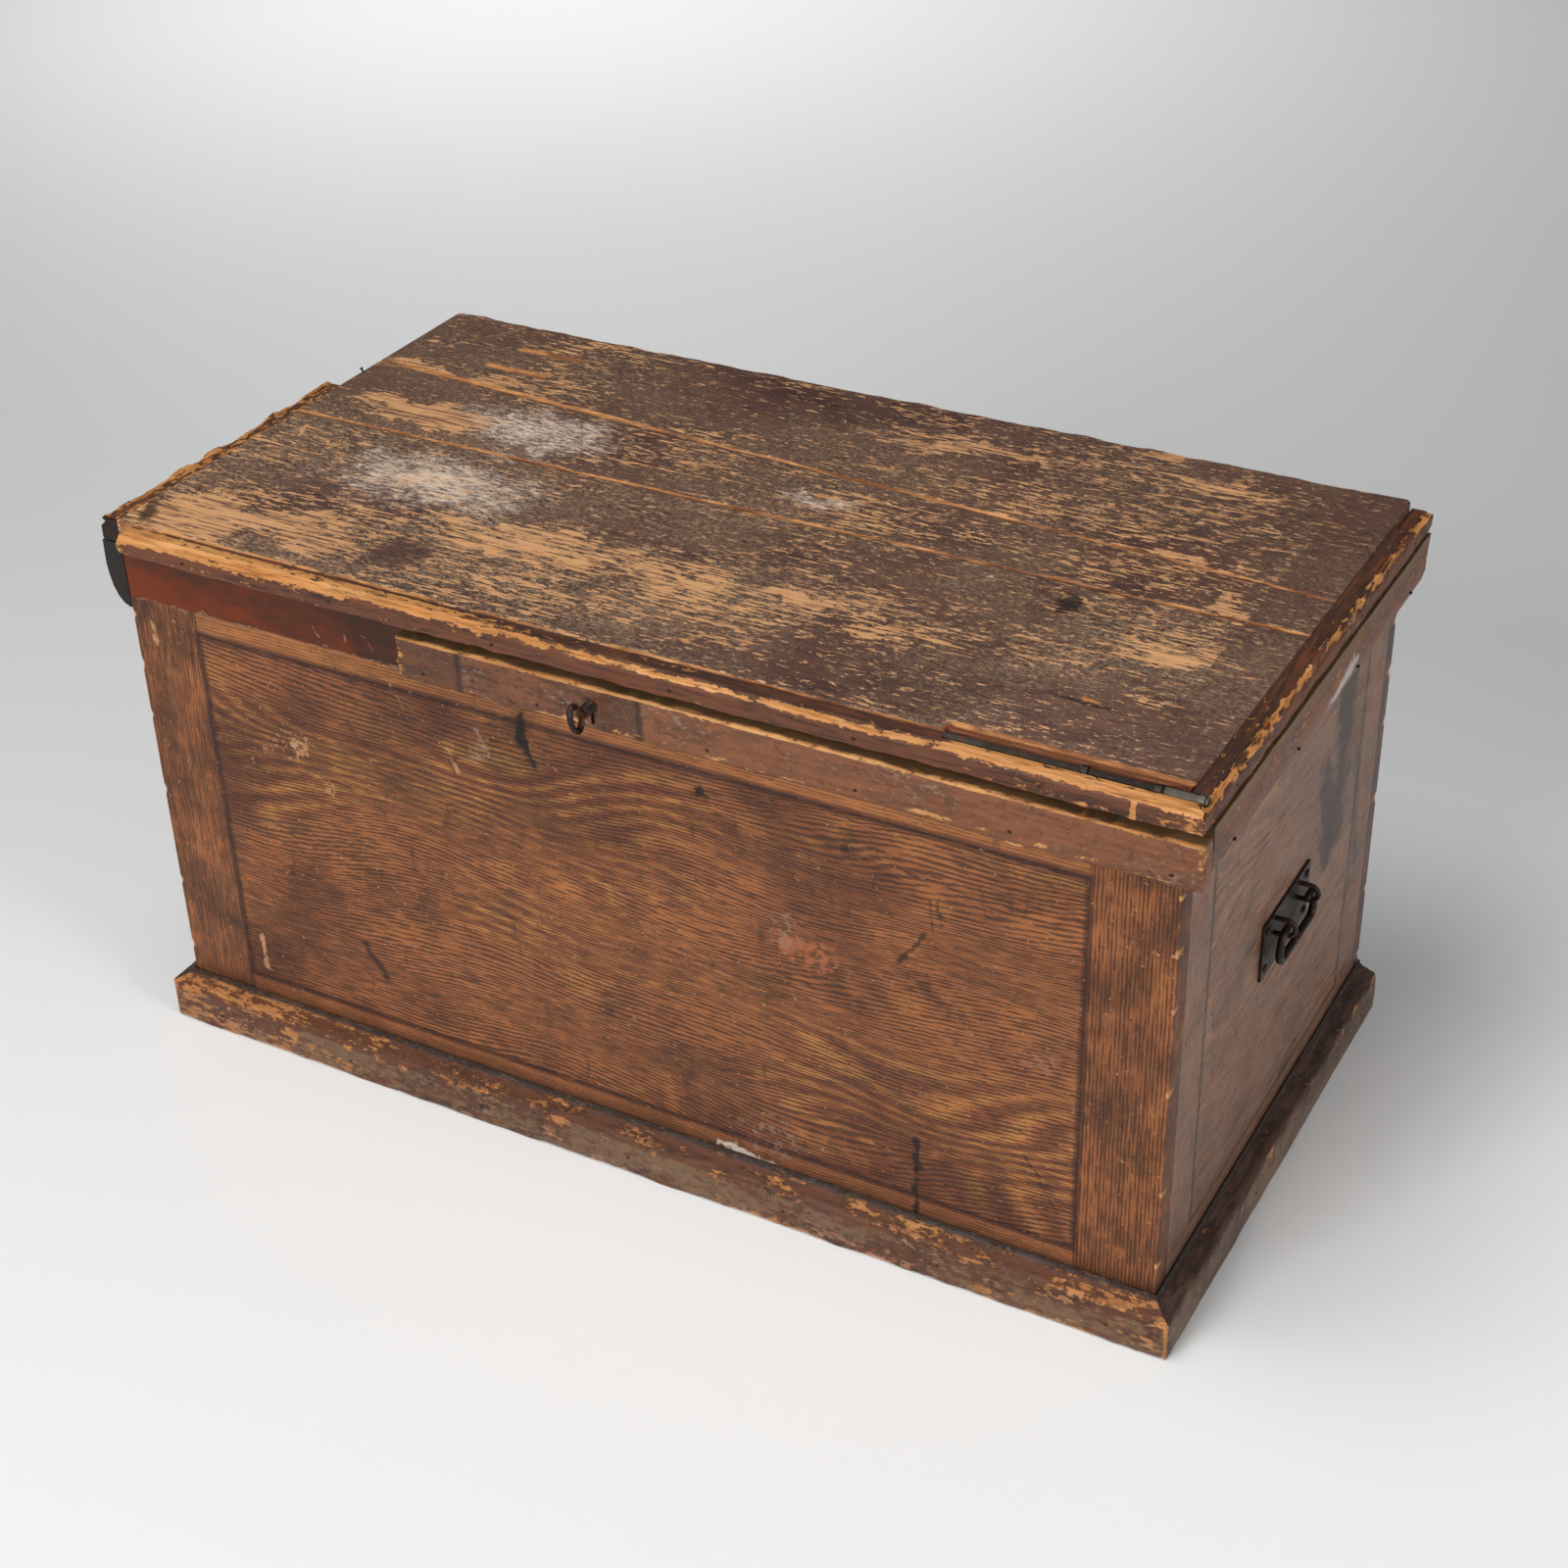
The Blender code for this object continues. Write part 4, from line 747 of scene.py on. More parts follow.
# Dust strips
# Strips nailed round the mouth of the case, which the lid shuts down over.
# The front one has lost its left part, and all are chipped along both edges.
STRIP_BROWN = "74472e"
STRIP_DARK = "472b1c"
SCRAPE_WHITE = "b9b0a8"
RIGHT_SCRAPE = ((0.469, 0.010, 0.424), (0.469, 0.052, 0.436))
STRIP_CHIP = 0.0016
STRIP_GAP = 0.0012
STRIP_ARRIS = 0.0012
STRIP_END_ROUND = 0.0020
STRIP_CUT = 0.006
STRIP_JOINTS = (-0.117, 0.040)
KEYHOLE_CLEAR = 0.012
STRIP_UPPER = 0.002
STRIP_LOWER = 0.009
STRIP_LAST = 0.004
STRIP_OUTER = 0.008
STRIP_SOUND = 0.12
END_STRIP_SOUND = 0.030
BLACK_ENDS = {"left": 0.95, "right": 0.4}
strip_low, strip_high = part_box("front_lip_strip")


def strip_finish(name, along, seed, dark_joints=(), black_end=0.0, scrape=None):
    """Brown paint scuffed and dirty, pieced with other lengths, chipped to the wood along both edges."""
    finish = Finish(name)
    wood, rings = pine(finish, along, seed)
    streaks = finish.noise(0.0040, drawn_out(along, 0.12), detail=5, rough=0.7, seed=seed + 1)
    patches = finish.noise(0.045, drawn_out(along, 0.5), detail=5, rough=0.7, seed=seed + 2)
    paint = finish.blend(STRIP_BROWN, STRIP_DARK, (patches * 0.5 + streaks * 0.5).rise(0.42, 0.62))
    soil = finish.noise(0.010, detail=5, rough=0.75, seed=seed + 6)
    paint = finish.blend(paint, GRIME, soil.rise(0.53, 0.66) * 0.75)
    scuffs = finish.noise(0.0035, drawn_out(along, 0.5), detail=5, rough=0.75, seed=seed + 8)
    paint = finish.blend(paint, DUST_GREY, (scuffs * 0.6 + patches * 0.4).rise(0.53, 0.62) * 0.6)
    if dark_joints:
        left, right = dark_joints
        paint = finish.blend(paint, STRIP_DARK, finish.x.rise(left + 0.001, left - 0.001) * 0.45)
        paint = finish.blend(paint, OAK_LIGHT, finish.x.rise(right - 0.001, right + 0.001) * 0.15)
        pieced = finish.x.rise(0.006, 0.008) * finish.x.rise(right + 0.001, right - 0.001)
        paint = finish.blend(paint, STRIP_DARK, pieced * 0.55)
    for place in dark_joints:
        side_of = abs(finish.x - place) + (soil - 0.5) * 0.008
        paint = finish.blend(paint, GRIME, side_of.rise(0.0045, 0.0005) * 0.75)
    bare = (worn_depth(finish) + (scuffs - 0.5) * 0.0050).rise(0.0009, 0.0013)
    arris = (finish.z - strip_high.z).rise(-0.0030, -0.0022) * (finish.y - strip_low.y).rise(0.0030, 0.0022)
    bare = bare.most(arris * (scuffs * 0.6 + patches * 0.4).rise(0.42, 0.48))
    colour = finish.blend(paint, wood, bare * 0.9)
    # The strip's top face takes the same dust colour, lightened as painted light under the lid's overhang.
    top = (finish.y - strip_low.y).rise(0.0020, 0.0030) * (finish.z - strip_high.z).rise(-0.0016, -0.0010)
    colour = finish.blend(colour, GAP_DUST_AND_LIGHT, top * 0.7)
    colour = finish.blend(colour, RUN_BLACK, (finish.y - case_low.y).rise(0.004, 0.002) * black_end)
    if scrape:
        colour = mark(finish, colour, SCRAPE_WHITE, *scrape, 0.016, 0.75)
    return finish.coat(colour, PLINTH_ROUGHNESS, rings * 0.4 + scuffs * 0.3 - bare * 0.5, MOULDING_RELIEF)


def strip_top(a, b):
    """Picks the long upper edges of the strip."""
    return min(a.z, b.z) > strip_high.z - MERGE and abs(a.x - b.x) > LONG_EDGE


def strip_end(a, b):
    """Picks the edges round both ends of the strip."""
    at_end = min(abs(a.x - strip_low.x), abs(a.x - strip_high.x)) < MERGE
    return at_end and abs(a.x - b.x) < MERGE


def strip_exposure(co, normal):
    """The strip's long edges and its ends chip, but not round the keyhole."""
    edge = co.z > strip_high.z - STRIP_UPPER or co.z < strip_low.z + STRIP_LOWER
    keyhole = abs(co.x) < KEYHOLE_CLEAR
    end = max(strip_low.x - co.x, co.x - strip_high.x) > -STRIP_LAST
    outer = co.y < strip_low.y + STRIP_OUTER
    return 1.0 if (edge or end) and outer and not keyhole else STRIP_SOUND


strip = rough_copy("front_lip_strip", "front_strip_worn")
round_over(strip, STRIP_ARRIS, 2, strip_top)
round_over(strip, STRIP_END_ROUND, 2, strip_end)
score(strip, AXES[0], steps_between(strip_low.x, strip_high.x, MOULDING_STEP))
score(strip, AXES[2], steps_between(strip_low.z, strip_high.z, STRIP_CUT))
wear_back(strip, STRIP_CHIP, strip_exposure, patch=0.007, drawn=(4, 1, 1), contrast=3.5, cover=0.85, turn=0.3)
strip_paint = strip_finish("front_strip_paint", 0, 54, STRIP_JOINTS)
fit_up(strip, strip_paint, "case", "moulding_paint", "front_lip_strip")
for side in SIDES:
    end_strip = rough_copy(side + "_lip_strip", side + "_strip_worn")
    low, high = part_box(side + "_lip_strip")
    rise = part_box(f"lid_{side}_lipping")[0].z - STRIP_GAP - high.z
    take_up(end_strip)
    for point in end_strip.data.vertices:
        if point.co.z > high.z - MERGE:
            point.co.z += rise
    score(end_strip, AXES[1], steps_between(low.y, high.y, 2 * MOULDING_STEP))
    above = lambda co, n: float(co.z > low.z + END_STRIP_SOUND)
    wear_back(end_strip, STRIP_CHIP, above, patch=0.008, drawn=(1, 4, 1), contrast=3.0, cover=0.5, turn=0.5)
    scrape = RIGHT_SCRAPE if side == "right" else None
    strip_paint = strip_finish(side + "_strip_paint", 1, 64, (), BLACK_ENDS[side], scrape)
    fit_up(end_strip, strip_paint, "case", "moulding_paint", side + "_lip_strip")


# Handles
# A wrought bail hangs in two staple eyes driven through a thin plate on each end.
# Hammered iron, black-brown, with rust behind the eyes.
IRON_BLACK = "29231f"
IRON_GREY = "4a423c"
IRON_RUST = "5e3620"
IRON_BRIGHT = "625d51"
IRON_METALLIC = 0.6
HAMMERED = 0.0005


def old_iron(name, rusty=0.5, grey=0.3, bright_from=None):
    """Brown-black iron with rust in patches, and rubbed bright past a place along the length."""
    finish = Finish(name)
    rust = finish.noise(0.010, detail=5, rough=0.7)
    worn = finish.noise(0.018, detail=4, rough=0.6, seed=5)
    colour = finish.blend(IRON_BLACK, IRON_GREY, worn.rise(0.45, 0.70) * grey)
    colour = finish.blend(colour, IRON_RUST, rust.rise(0.48, 0.70) * rusty)
    if bright_from:
        bright = finish.x.rise(bright_from, bright_from + 0.001) * (worn * 0.5 + 0.4)
        colour = finish.blend(colour, IRON_BRIGHT, bright)
    finish.shader.inputs["Metallic"].default_value = IRON_METALLIC
    return finish.coat(colour, rust * 0.35 + 0.28, rust, HAMMERED)


def forged(node, name, body, material, levels=2):
    """Smooth copy of a bent rod or a domed head, as it comes from the hammer."""
    piece = rough_copy(node, name)
    smooth = piece.modifiers.new("smooth", "SUBSURF")
    smooth.levels = levels
    smooth.render_levels = levels
    take_up(piece)
    bpy.ops.object.modifier_apply(modifier=smooth.name)
    fit_up(piece, material, body, "black_iron", node)


handle_iron = old_iron("handle_iron", rusty=1.3)
plate_iron = old_iron("handle_plate_iron", rusty=0.7, grey=0.15)
for side in SIDES:
    forged(side + "_bail", side + "_bail_forged", side + "_handle", handle_iron)
    for place in ("front", "rear"):
        name = f"{side}_handle_{place}_eye"
        forged(name, name + "_forged", "case", handle_iron)
    dress(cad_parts[side + "_handle_plate"], plate_iron)
for number in range(1, 9):
    name = f"handle_rivet_{number}"
    forged(name, name + "_forged", "case", plate_iron)


# Lock
# Box lock let into the front board from inside, with a sliding bolt.
# The case is black iron; the bolt and the staple that it shoots through are worn bright.
lock_iron = old_iron("lock_iron", rusty=0.5)
bright_iron = old_iron("bolt_iron", rusty=0.25, grey=0.9)
for name in ("lock_case", "lock_cover", "lock_link_plate"):
    dress(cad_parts[name], lock_iron)
for name in ("lock_bolt", "lock_staple"):
    dress(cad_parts[name], bright_iron)


# Key
# Forged key standing in the lock: an oval bow, a shank with four turned rings, a plain bit.
# Iron gone brown, rubbed smooth where the fingers hold it.
KEY_STANDOFF = 0.0135
KEY_BOW_HIGH = 0.0122
KEY_BOW_WIRE = 0.0026
KEY_BOW_TURN = math.radians(13)
KEY_SHANK = 0.0036
KEY_RING = 0.0013
KEY_RING_LENGTH = 0.0022
KEY_RING_STARTS = (0.0012, 0.0042, 0.0072, 0.0102)
KEY_RING_STEPS = 6
KEY_BIT_LENGTH = 0.0064
KEY_BIT_REACH = 0.0093
KEY_BIT_THICKNESS = 0.0022
KEY_BIT_ARRIS = 0.0004
KEY_TIP = 0.0003
key_low, key_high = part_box("key")
key_axis = (key_low.z + key_high.z) / 2
bow_end = strip_low.y - KEY_STANDOFF
bow_long = (bow_end - key_low.y) / 2


def set_down(name):
    """Names the primitive just added and puts its place into its mesh."""
    bpy.ops.object.transform_apply(location=True, rotation=True, scale=True)
    piece = bpy.context.object
    piece.name = name
    piece.data.name = name
    return piece


def pick(piece, wanted=lambda co: True):
    """Takes up all points of a piece, or those that wanted picks, for the next operator."""
    take_up(piece, "EDIT")
    bpy.ops.mesh.select_mode(type="VERT")
    bpy.ops.mesh.select_all(action="DESELECT")
    bpy.ops.object.mode_set(mode="OBJECT")
    for point in piece.data.vertices:
        point.select = bool(wanted(point.co))
    bpy.ops.object.mode_set(mode="EDIT")


def weld(piece, other):
    """Makes another piece one with this one."""
    union = piece.modifiers.new("weld", "BOOLEAN")
    union.operation = "UNION"
    union.object = other
    take_up(piece)
    bpy.ops.object.modifier_apply(modifier=union.name)
    bpy.data.objects.remove(other)


bow_middle = (0, bow_end - bow_long, key_axis)
bpy.ops.object.select_all(action="DESELECT")
bpy.ops.mesh.primitive_torus_add(
    location=bow_middle, rotation=(0, math.pi / 2, 0), major_segments=48, minor_segments=16,
    major_radius=KEY_BOW_HIGH - KEY_BOW_WIRE, minor_radius=KEY_BOW_WIRE,
)
key = set_down("key_forged")
pick(key)
bpy.ops.transform.resize(value=(1, bow_long / KEY_BOW_HIGH, 1), center_override=bow_middle)
bpy.ops.transform.rotate(value=KEY_BOW_TURN, orient_axis="Y", center_override=bow_middle)
bpy.ops.object.mode_set(mode="OBJECT")

shank_start = bow_end - KEY_BOW_WIRE
bpy.ops.object.select_all(action="DESELECT")
bpy.ops.mesh.primitive_cylinder_add(
    vertices=24, radius=KEY_SHANK, depth=key_high.y - shank_start,
    location=(0, (key_high.y + shank_start) / 2, key_axis), rotation=(math.pi / 2, 0, 0),
)
shank = set_down("key_shank")
for start in KEY_RING_STARTS:
    steps = range(KEY_RING_STEPS + 1)
    rounds = [bow_end + start + KEY_RING_LENGTH * step / KEY_RING_STEPS for step in steps]
    score(shank, AXES[1], rounds)
    for step, place in enumerate(rounds):
        swell = 1 + KEY_RING / KEY_SHANK * math.sin(math.pi * step / KEY_RING_STEPS)
        pick(shank, lambda co: abs(co.y - place) < MERGE)
        bpy.ops.transform.resize(value=(swell, 1, swell), center_override=(0, place, key_axis))
        bpy.ops.object.mode_set(mode="OBJECT")

bpy.ops.object.select_all(action="DESELECT")
bpy.ops.mesh.primitive_cube_add(
    size=1, scale=(KEY_BIT_THICKNESS, KEY_BIT_LENGTH, KEY_BIT_REACH),
    location=(0, key_high.y - KEY_TIP - KEY_BIT_LENGTH / 2, key_axis - KEY_BIT_REACH / 2),
)
bit = set_down("key_bit")
pick(bit)
bpy.ops.mesh.bevel(offset=KEY_BIT_ARRIS, segments=2, affect="EDGES")
bpy.ops.object.mode_set(mode="OBJECT")
weld(key, shank)
weld(key, bit)
fit_up(key, old_iron("key_iron", rusty=1.6, grey=0.9), "key", "black_iron", "key")


# Lid planks
# Three pine planks laid edge to edge on battens, painted dark brown and grained.
# The paint has gone along the grain, most of all at the front left, and water has left bloom.
LID_BROWN = "5b3f34"
LID_PURPLE = "48302b"
LID_OLIVE = "9a8468"
LID_BARE = "d09f73"
LID_ORANGE = "c07c3a"
LID_RED = "6b3a22"
LID_BLOOM = "dccab8"
LID_ROUGHNESS = 0.52
LID_GLOSS = 0.25
LID_RELIEF = 0.0007
PLANK_ARRIS = 0.0012
PLANK_STEP = 0.0040
PLANK_BANDS = (0.0035, 0.0055)
ROD_CHANNEL_BACK = -0.2294
REBATE_WIDTH = 0.0065
REBATE_SINK = 0.0016
REBATE_EDGE = 0.001
REBATE_SLOPE = 0.003
PLANK_CHIP = 0.0019
GOUGE_DEPTH = 0.0018
GOUGE_HALF_WIDTH = 0.006
GOUGE_CUT = 0.002
LID_HALF = 0.45
END_BAND = 0.403
REAR_CORNER = 0.006
REAR_CORNERS_FROM = 0.24
UPRIGHT_EDGE = 0.015
LID_SKIN = 0.003
ROD_FROM = 0.274
GOUGES = (((-0.357, 0.151), (-0.300, 0.1505)), ((-0.3485, 0.193), (-0.288, 0.1934)))
BARE_PATCHES = (
    (-0.405, -0.200, 0.075, 0.044, 0.80),
    (-0.320, -0.185, 0.100, 0.034, 0.64),
    (-0.130, -0.125, 0.125, 0.038, 0.54),
    (-0.010, -0.125, 0.100, 0.034, 0.47),
    (-0.070, -0.185, 0.180, 0.022, 0.40),
    (-0.266, -0.070, 0.080, 0.040, 0.45),
    (0.103, -0.112, 0.030, 0.012, 0.66),
    (0.378, -0.064, 0.060, 0.030, 0.50),
    (0.395, 0.009, 0.018, 0.012, 0.8),
    (0.330, 0.074, 0.070, 0.014, 0.52),
    (0.090, 0.180, 0.140, 0.022, 0.5),
    (0.240, 0.229, 0.032, 0.010, 0.9),
    (0.310, 0.194, 0.070, 0.022, 0.56),
    (0.198, -0.224, 0.026, 0.006, 0.8),
    (-0.346, 0.040, 0.064, 0.024, 1.0),
    (-0.380, 0.123, 0.080, 0.008, 1.1),
    (0.160, -0.120, 0.150, 0.060, 0.34),
    (0.030, -0.160, 0.110, 0.040, 0.38),
    (0.300, 0.035, 0.150, 0.030, 0.30),
    (0.200, 0.110, 0.200, 0.035, 0.30),
)
KEPT_PAINT = ((0.300, -0.175, 0.170, 0.050), (0.140, -0.212, 0.150, 0.024), (-0.110, 0.190, 0.190, 0.045))
BLOOMS = (
    (-0.262, -0.064, 0.130, 0.068, 0.85),
    (-0.240, 0.052, 0.095, 0.056, 1.0),
    (0.027, 0.041, 0.042, 0.019, 0.85),
)
LID_MARKS = (
    ((0.279, -0.024), (0.277, -0.046), 0.013, RUN_BLACK, 0.85),
    ((-0.440, -0.205), (-0.425, -0.222), 0.014, GRIME, 0.7),
    ((-0.445, -0.190), (-0.433, -0.226), 0.009, GRIME, 0.6),
    ((-0.225, -0.176), (-0.207, -0.176), 0.034, LID_PURPLE, 0.75),
    ((-0.423, -0.102), (-0.360, -0.103), 0.0020, LID_BARE, 0.5),
    ((-0.420, 0.163), (-0.372, 0.235), 0.0020, LID_BARE, 0.5),
    ((-0.417, -0.040), (-0.424, -0.022), 0.0045, LID_BARE, 0.7),
    ((0.319, -0.1565), (0.366, -0.157), 0.0030, RUN_BLACK, 0.8),
    ((0.340, -0.152), (0.352, -0.152), 0.0030, LID_ORANGE, 0.8),
)
planks = ("lid_front_plank", "lid_middle_plank", "lid_rear_plank")
lid_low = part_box("lid_front_plank")[0]
lid_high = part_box("lid_rear_plank")[1]


def lid_spot(x, y):
    """Place on the top of the lid."""
    return (x, y, lid_high.z)


def paint_lost(finish, cloud, ragged):
    """Share of the paint that is lost: in clouds, most in the bare patches, least where it was kept."""
    loss = cloud.rise(0.36, 0.66) * 0.27 + 0.03
    for x, y, reach_x, reach_y, weight in BARE_PATCHES:
        loss = loss.most(finish.away(lid_spot(x, y), (reach_x, reach_y, 1), ragged).rise(1.5, 0.1) * weight)
    for x, y, reach_x, reach_y in KEPT_PAINT:
        loss = loss * (1 - finish.away(lid_spot(x, y), (reach_x, reach_y, 1), ragged).rise(1.2, 0.4) * 0.75)
    return loss


def plank_joints(finish):
    """The straight and the slanting joint between planks, the second with two wider stretches."""
    straight = finish.stroke(lid_spot(-LID_HALF, first_joint), lid_spot(LID_HALF, first_joint))
    slanting = finish.stroke((*slant_left, lid_high.z), (*slant_right, lid_high.z))
    wide = finish.x.rise(-0.12, -0.22) * 0.0022 + abs(finish.x - 0.12).rise(0.14, 0.06) * 0.0009
    return straight.rise(0.0019, 0.0010).most((slanting - wide).rise(0.0020, 0.0010))


def worn_lid(name, seed):
    """Dark grained paint worn off in short streaks along the grain, down to pale pine."""
    finish = Finish(name)
    wood, rings = pine(finish, 0, seed)
    wood = finish.blend(wood, LID_BARE, 0.65)
    streaks = finish.noise(0.0028, (0.12, 1, 1), detail=3, rough=0.6, seed=seed + 1)
    flakes = finish.noise(0.0036, (0.30, 1, 1), detail=4, rough=0.7, seed=seed + 2)
    broad = finish.noise(0.016, (0.20, 1, 1), detail=4, rough=0.65, seed=seed + 5)
    lines = finish.noise(0.0030, (0.035, 1, 1), detail=3, rough=0.6, seed=seed + 9)
    cloud = finish.noise(0.10, (0.6, 1, 1), detail=4, rough=0.65, seed=2)
    ragged = finish.strayed(0.045, 0.10)
    across_band = (finish.x + (broad - 0.5) * 0.004).rise(END_BAND - 0.0005, END_BAND + 0.0005)
    loss = paint_lost(finish, cloud, ragged) * (1 - across_band * 0.45)
    bare = (streaks * 0.42 + lines * 0.20 + flakes * 0.28 + broad * 0.10 + loss * 0.27).rise(0.598, 0.616)

    grains = finish.noise(0.0017, (0.45, 1, 1), detail=5, rough=0.8, seed=seed + 3)
    specks = finish.noise(0.0032, (0.30, 1, 1), detail=4, rough=0.75, seed=seed + 6)
    band_grains = finish.noise(0.0016, (1, 0.10, 1), detail=3, rough=0.6, seed=seed + 4)
    paint = finish.blend(LID_BROWN, LID_PURPLE, (cloud * 0.6 + broad * 0.4).rise(0.42, 0.58))
    paint = finish.blend(paint, GRIME, streaks.rise(0.47, 0.33) * 0.6)
    dusty = finish.noise(0.14, (0.7, 1, 1), detail=3, rough=0.6, seed=6)
    dust = dusty.rise(0.30, 0.60) * (0.8 - finish.y.rise(0.0, 0.06) * 0.25)
    paint = finish.blend(paint, LID_OLIVE, grains.rise(0.47, 0.59) * dust)
    paint = finish.blend(paint, LID_BARE, (specks + loss * 0.20).rise(0.610, 0.645) * 0.95)
    paint = finish.blend(paint, band_grains_colour(finish, band_grains), across_band * 0.35)
    wood = finish.blend(wood, LID_BROWN, (lines * 0.6 + streaks * 0.4).rise(0.51, 0.44) * 0.85)
    colour = finish.blend(paint, wood, bare * 0.95)

    for x, y, reach_x, reach_y, thick in BLOOMS:
        haze = finish.away(lid_spot(x, y), (reach_x, reach_y, 1), ragged).rise(1.1, 0.0)
        powder = (grains * 0.5 + specks * 0.5 + haze * 0.11).rise(0.47, 0.70)
        colour = finish.blend(colour, LID_BLOOM, powder * haze.rise(0.0, 0.5) * thick)
    for start, end, width, paint, strength in LID_MARKS:
        colour = mark(finish, colour, paint, lid_spot(*start), lid_spot(*end), width, strength)

    edge = (worn_depth(finish) + (flakes - 0.5) * 0.0024).rise(0.0003, 0.0007)
    raw = finish.blend(wood, LID_ORANGE, 0.5)
    raw = finish.blend(raw, LID_RED, (broad + finish.x * 0.12).rise(0.42, 0.60) * 0.8)
    colour = finish.blend(colour, raw, edge * 0.95)
    seams = plank_joints(finish) * (flakes * 0.5 + streaks * 0.5).rise(0.36, 0.46)
    colour = finish.blend(colour, raw, seams * 0.9)
    beside_rod = (finish.x + (broad - 0.5) * 0.02).rise(ROD_FROM - 0.004, ROD_FROM)
    behind_rod = finish.y - ROD_CHANNEL_BACK + (flakes - 0.5) * 0.005 + (broad - 0.5) * 0.006
    colour = finish.blend(colour, raw, behind_rod.rise(0.0105, 0.0095) * beside_rod * 0.9)
    colour = finish.blend(colour, LID_RED, behind_rod.rise(0.0070, 0.0055) * beside_rod * 0.9)
    underside = (finish.z - (lid_low.z + FACE_SKIN)).rise(FACE_SKIN / 2, -FACE_SKIN / 2)
    inside, _ = aged_pine(finish, 0, seed + 8)
    colour = finish.blend(colour, inside, underside)
    height = rings * 0.35 + grains * 0.25 - bare * 0.6
    return finish.coat(colour, bare * 0.18 + LID_ROUGHNESS, height, LID_RELIEF, LID_GLOSS)


def band_grains_colour(finish, grains):
    """Painted rail at the right end of the lid, its grain running across."""
    return finish.blend(LID_PURPLE, LID_BROWN, grains.rise(0.42, 0.62))


def from_line(point, start, end):
    """Distance in plan of a point from a straight line between two places."""
    start = Vector(start)
    run = Vector(end) - start
    share = min(1, max(0, (point.xy - start).dot(run) / run.length_squared))
    return (point.xy - start - run * share).length


slant_left = Vector((-case_high.x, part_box("lid_middle_plank")[1].y))
slant_right = Vector((case_high.x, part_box("lid_rear_plank")[0].y))
slant = (slant_right - slant_left).orthogonal().normalized()
slant = slant if slant.y > 0 else -slant
slant_place = slant.dot(slant_left)
slant = (*slant, 0)
first_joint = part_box("lid_middle_plank")[0].y
plank_edges = {
    "lid_front_plank": (
        (AXES[1], lid_low.y, 1), (AXES[1], ROD_CHANNEL_BACK, 1), (AXES[1], first_joint, -1),
    ),
    "lid_middle_plank": ((AXES[1], first_joint, 1), (slant, slant_place, -1)),
    "lid_rear_plank": ((slant, slant_place, 1), (AXES[1], lid_high.y, -1)),
}


def rear_corner(a, b):
    """Picks the upright rear corners of the rear plank."""
    return a.z != b.z and (a - b).length > UPRIGHT_EDGE and min(a.y, b.y) > REAR_CORNERS_FROM


def long_arris(co, n):
    """The rounded upper edges along the planks wear most."""
    return float(co.z > lid_high.z - LID_SKIN and 0.1 < n.z < 0.985 and abs(n.x) < 0.05)


def rod_rebate(co, n):
    """The front plank is cut down behind the rod."""
    cut_down = co.x > ROD_FROM and co.y < ROD_CHANNEL_BACK + REBATE_WIDTH + REBATE_EDGE
    return float(cut_down and co.z > lid_high.z - LID_SKIN)


def gouged(co, n):
    """Two gouges run with the grain near the left end of the rear plank."""
    nearest = min(from_line(co, *gouge) for gouge in GOUGES)
    return float(n.z > 0.9) * max(0.0, 1 - nearest / GOUGE_HALF_WIDTH)


for number, name in enumerate(planks):
    plank = rough_copy(name, name + "_worn")
    if name == "lid_rear_plank":
        round_over(plank, REAR_CORNER, 4, rear_corner)
    round_over(plank, PLANK_ARRIS, 2, lambda a, b: min(a.z, b.z) > lid_high.z - MERGE)
    for across, place, inward in plank_edges[name]:
        score(plank, across, [place + inward * band for band in PLANK_BANDS])
    if name == "lid_rear_plank":
        for start, end in GOUGES:
            score(plank, AXES[1], [start[1] + step * GOUGE_CUT for step in range(-3, 4)])
    score(plank, AXES[0], steps_between(-LID_HALF, LID_HALF, PLANK_STEP))
    wear_back(plank, PLANK_CHIP, long_arris, patch=0.006, drawn=(5, 1, 1), contrast=2.6, turn=0.15 * number)
    if name == "lid_front_plank":
        rebate = ROD_CHANNEL_BACK + REBATE_WIDTH
        score(plank, AXES[1], [rebate, rebate + REBATE_SLOPE])
        wear_back(plank, REBATE_SINK, rod_rebate)
    if name == "lid_rear_plank":
        wear_back(plank, GOUGE_DEPTH, gouged)
    fit_up(plank, worn_lid(name + "_paint", 3.0 * number), "lid", "lid_paint", name)


# Lipping
# Pine edging nailed to the front and the ends of the lid, a little below the planks.
# Its upper arris has splintered away to bare orange wood, most of all at the front left.
LIPPING_BROWN = "663b26"
LIPPING_DARK = "33211a"
LIPPING_ORANGE = "bd8046"
LIPPING_RED = "6e3d20"
LIPPING_TOP = "3a271d"
LIPPING_SINK = 0.0014
LIPPING_STEP = 0.0032
LIPPING_CHIP = 0.0034
SPLINTER = 0.0030
LIPPING_END_ROUND = 0.007
LIPPING_BANDS = (0.0065, 0.0085)
LIPPING_CUTS = (0.0085, 0.0105)
FACE_CUTS = (0.006, 0.010, 0.0125)
ARRIS_WIDE = 0.0055
ARRIS_DEEP = 0.0075
LIPPING_FOOT = 0.0012
LIPPING_FOOT_HIGH = 0.003
LIPPING_TOP_DEEP = 0.004
LEFT_TORN = 0.0010
SPLINTERED_TO = -0.215
SPLINTER_FROM = 0.010
SPLINTER_WIDE = 0.006
lipping_low, lipping_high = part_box("lid_front_lipping")


def lipping_top(finish):
    """The upper face of the lipping, and the edge just below it."""
    return (finish.z - (lipping_high.z - LIPPING_TOP_DEEP)).rise(-0.001, 0.001)


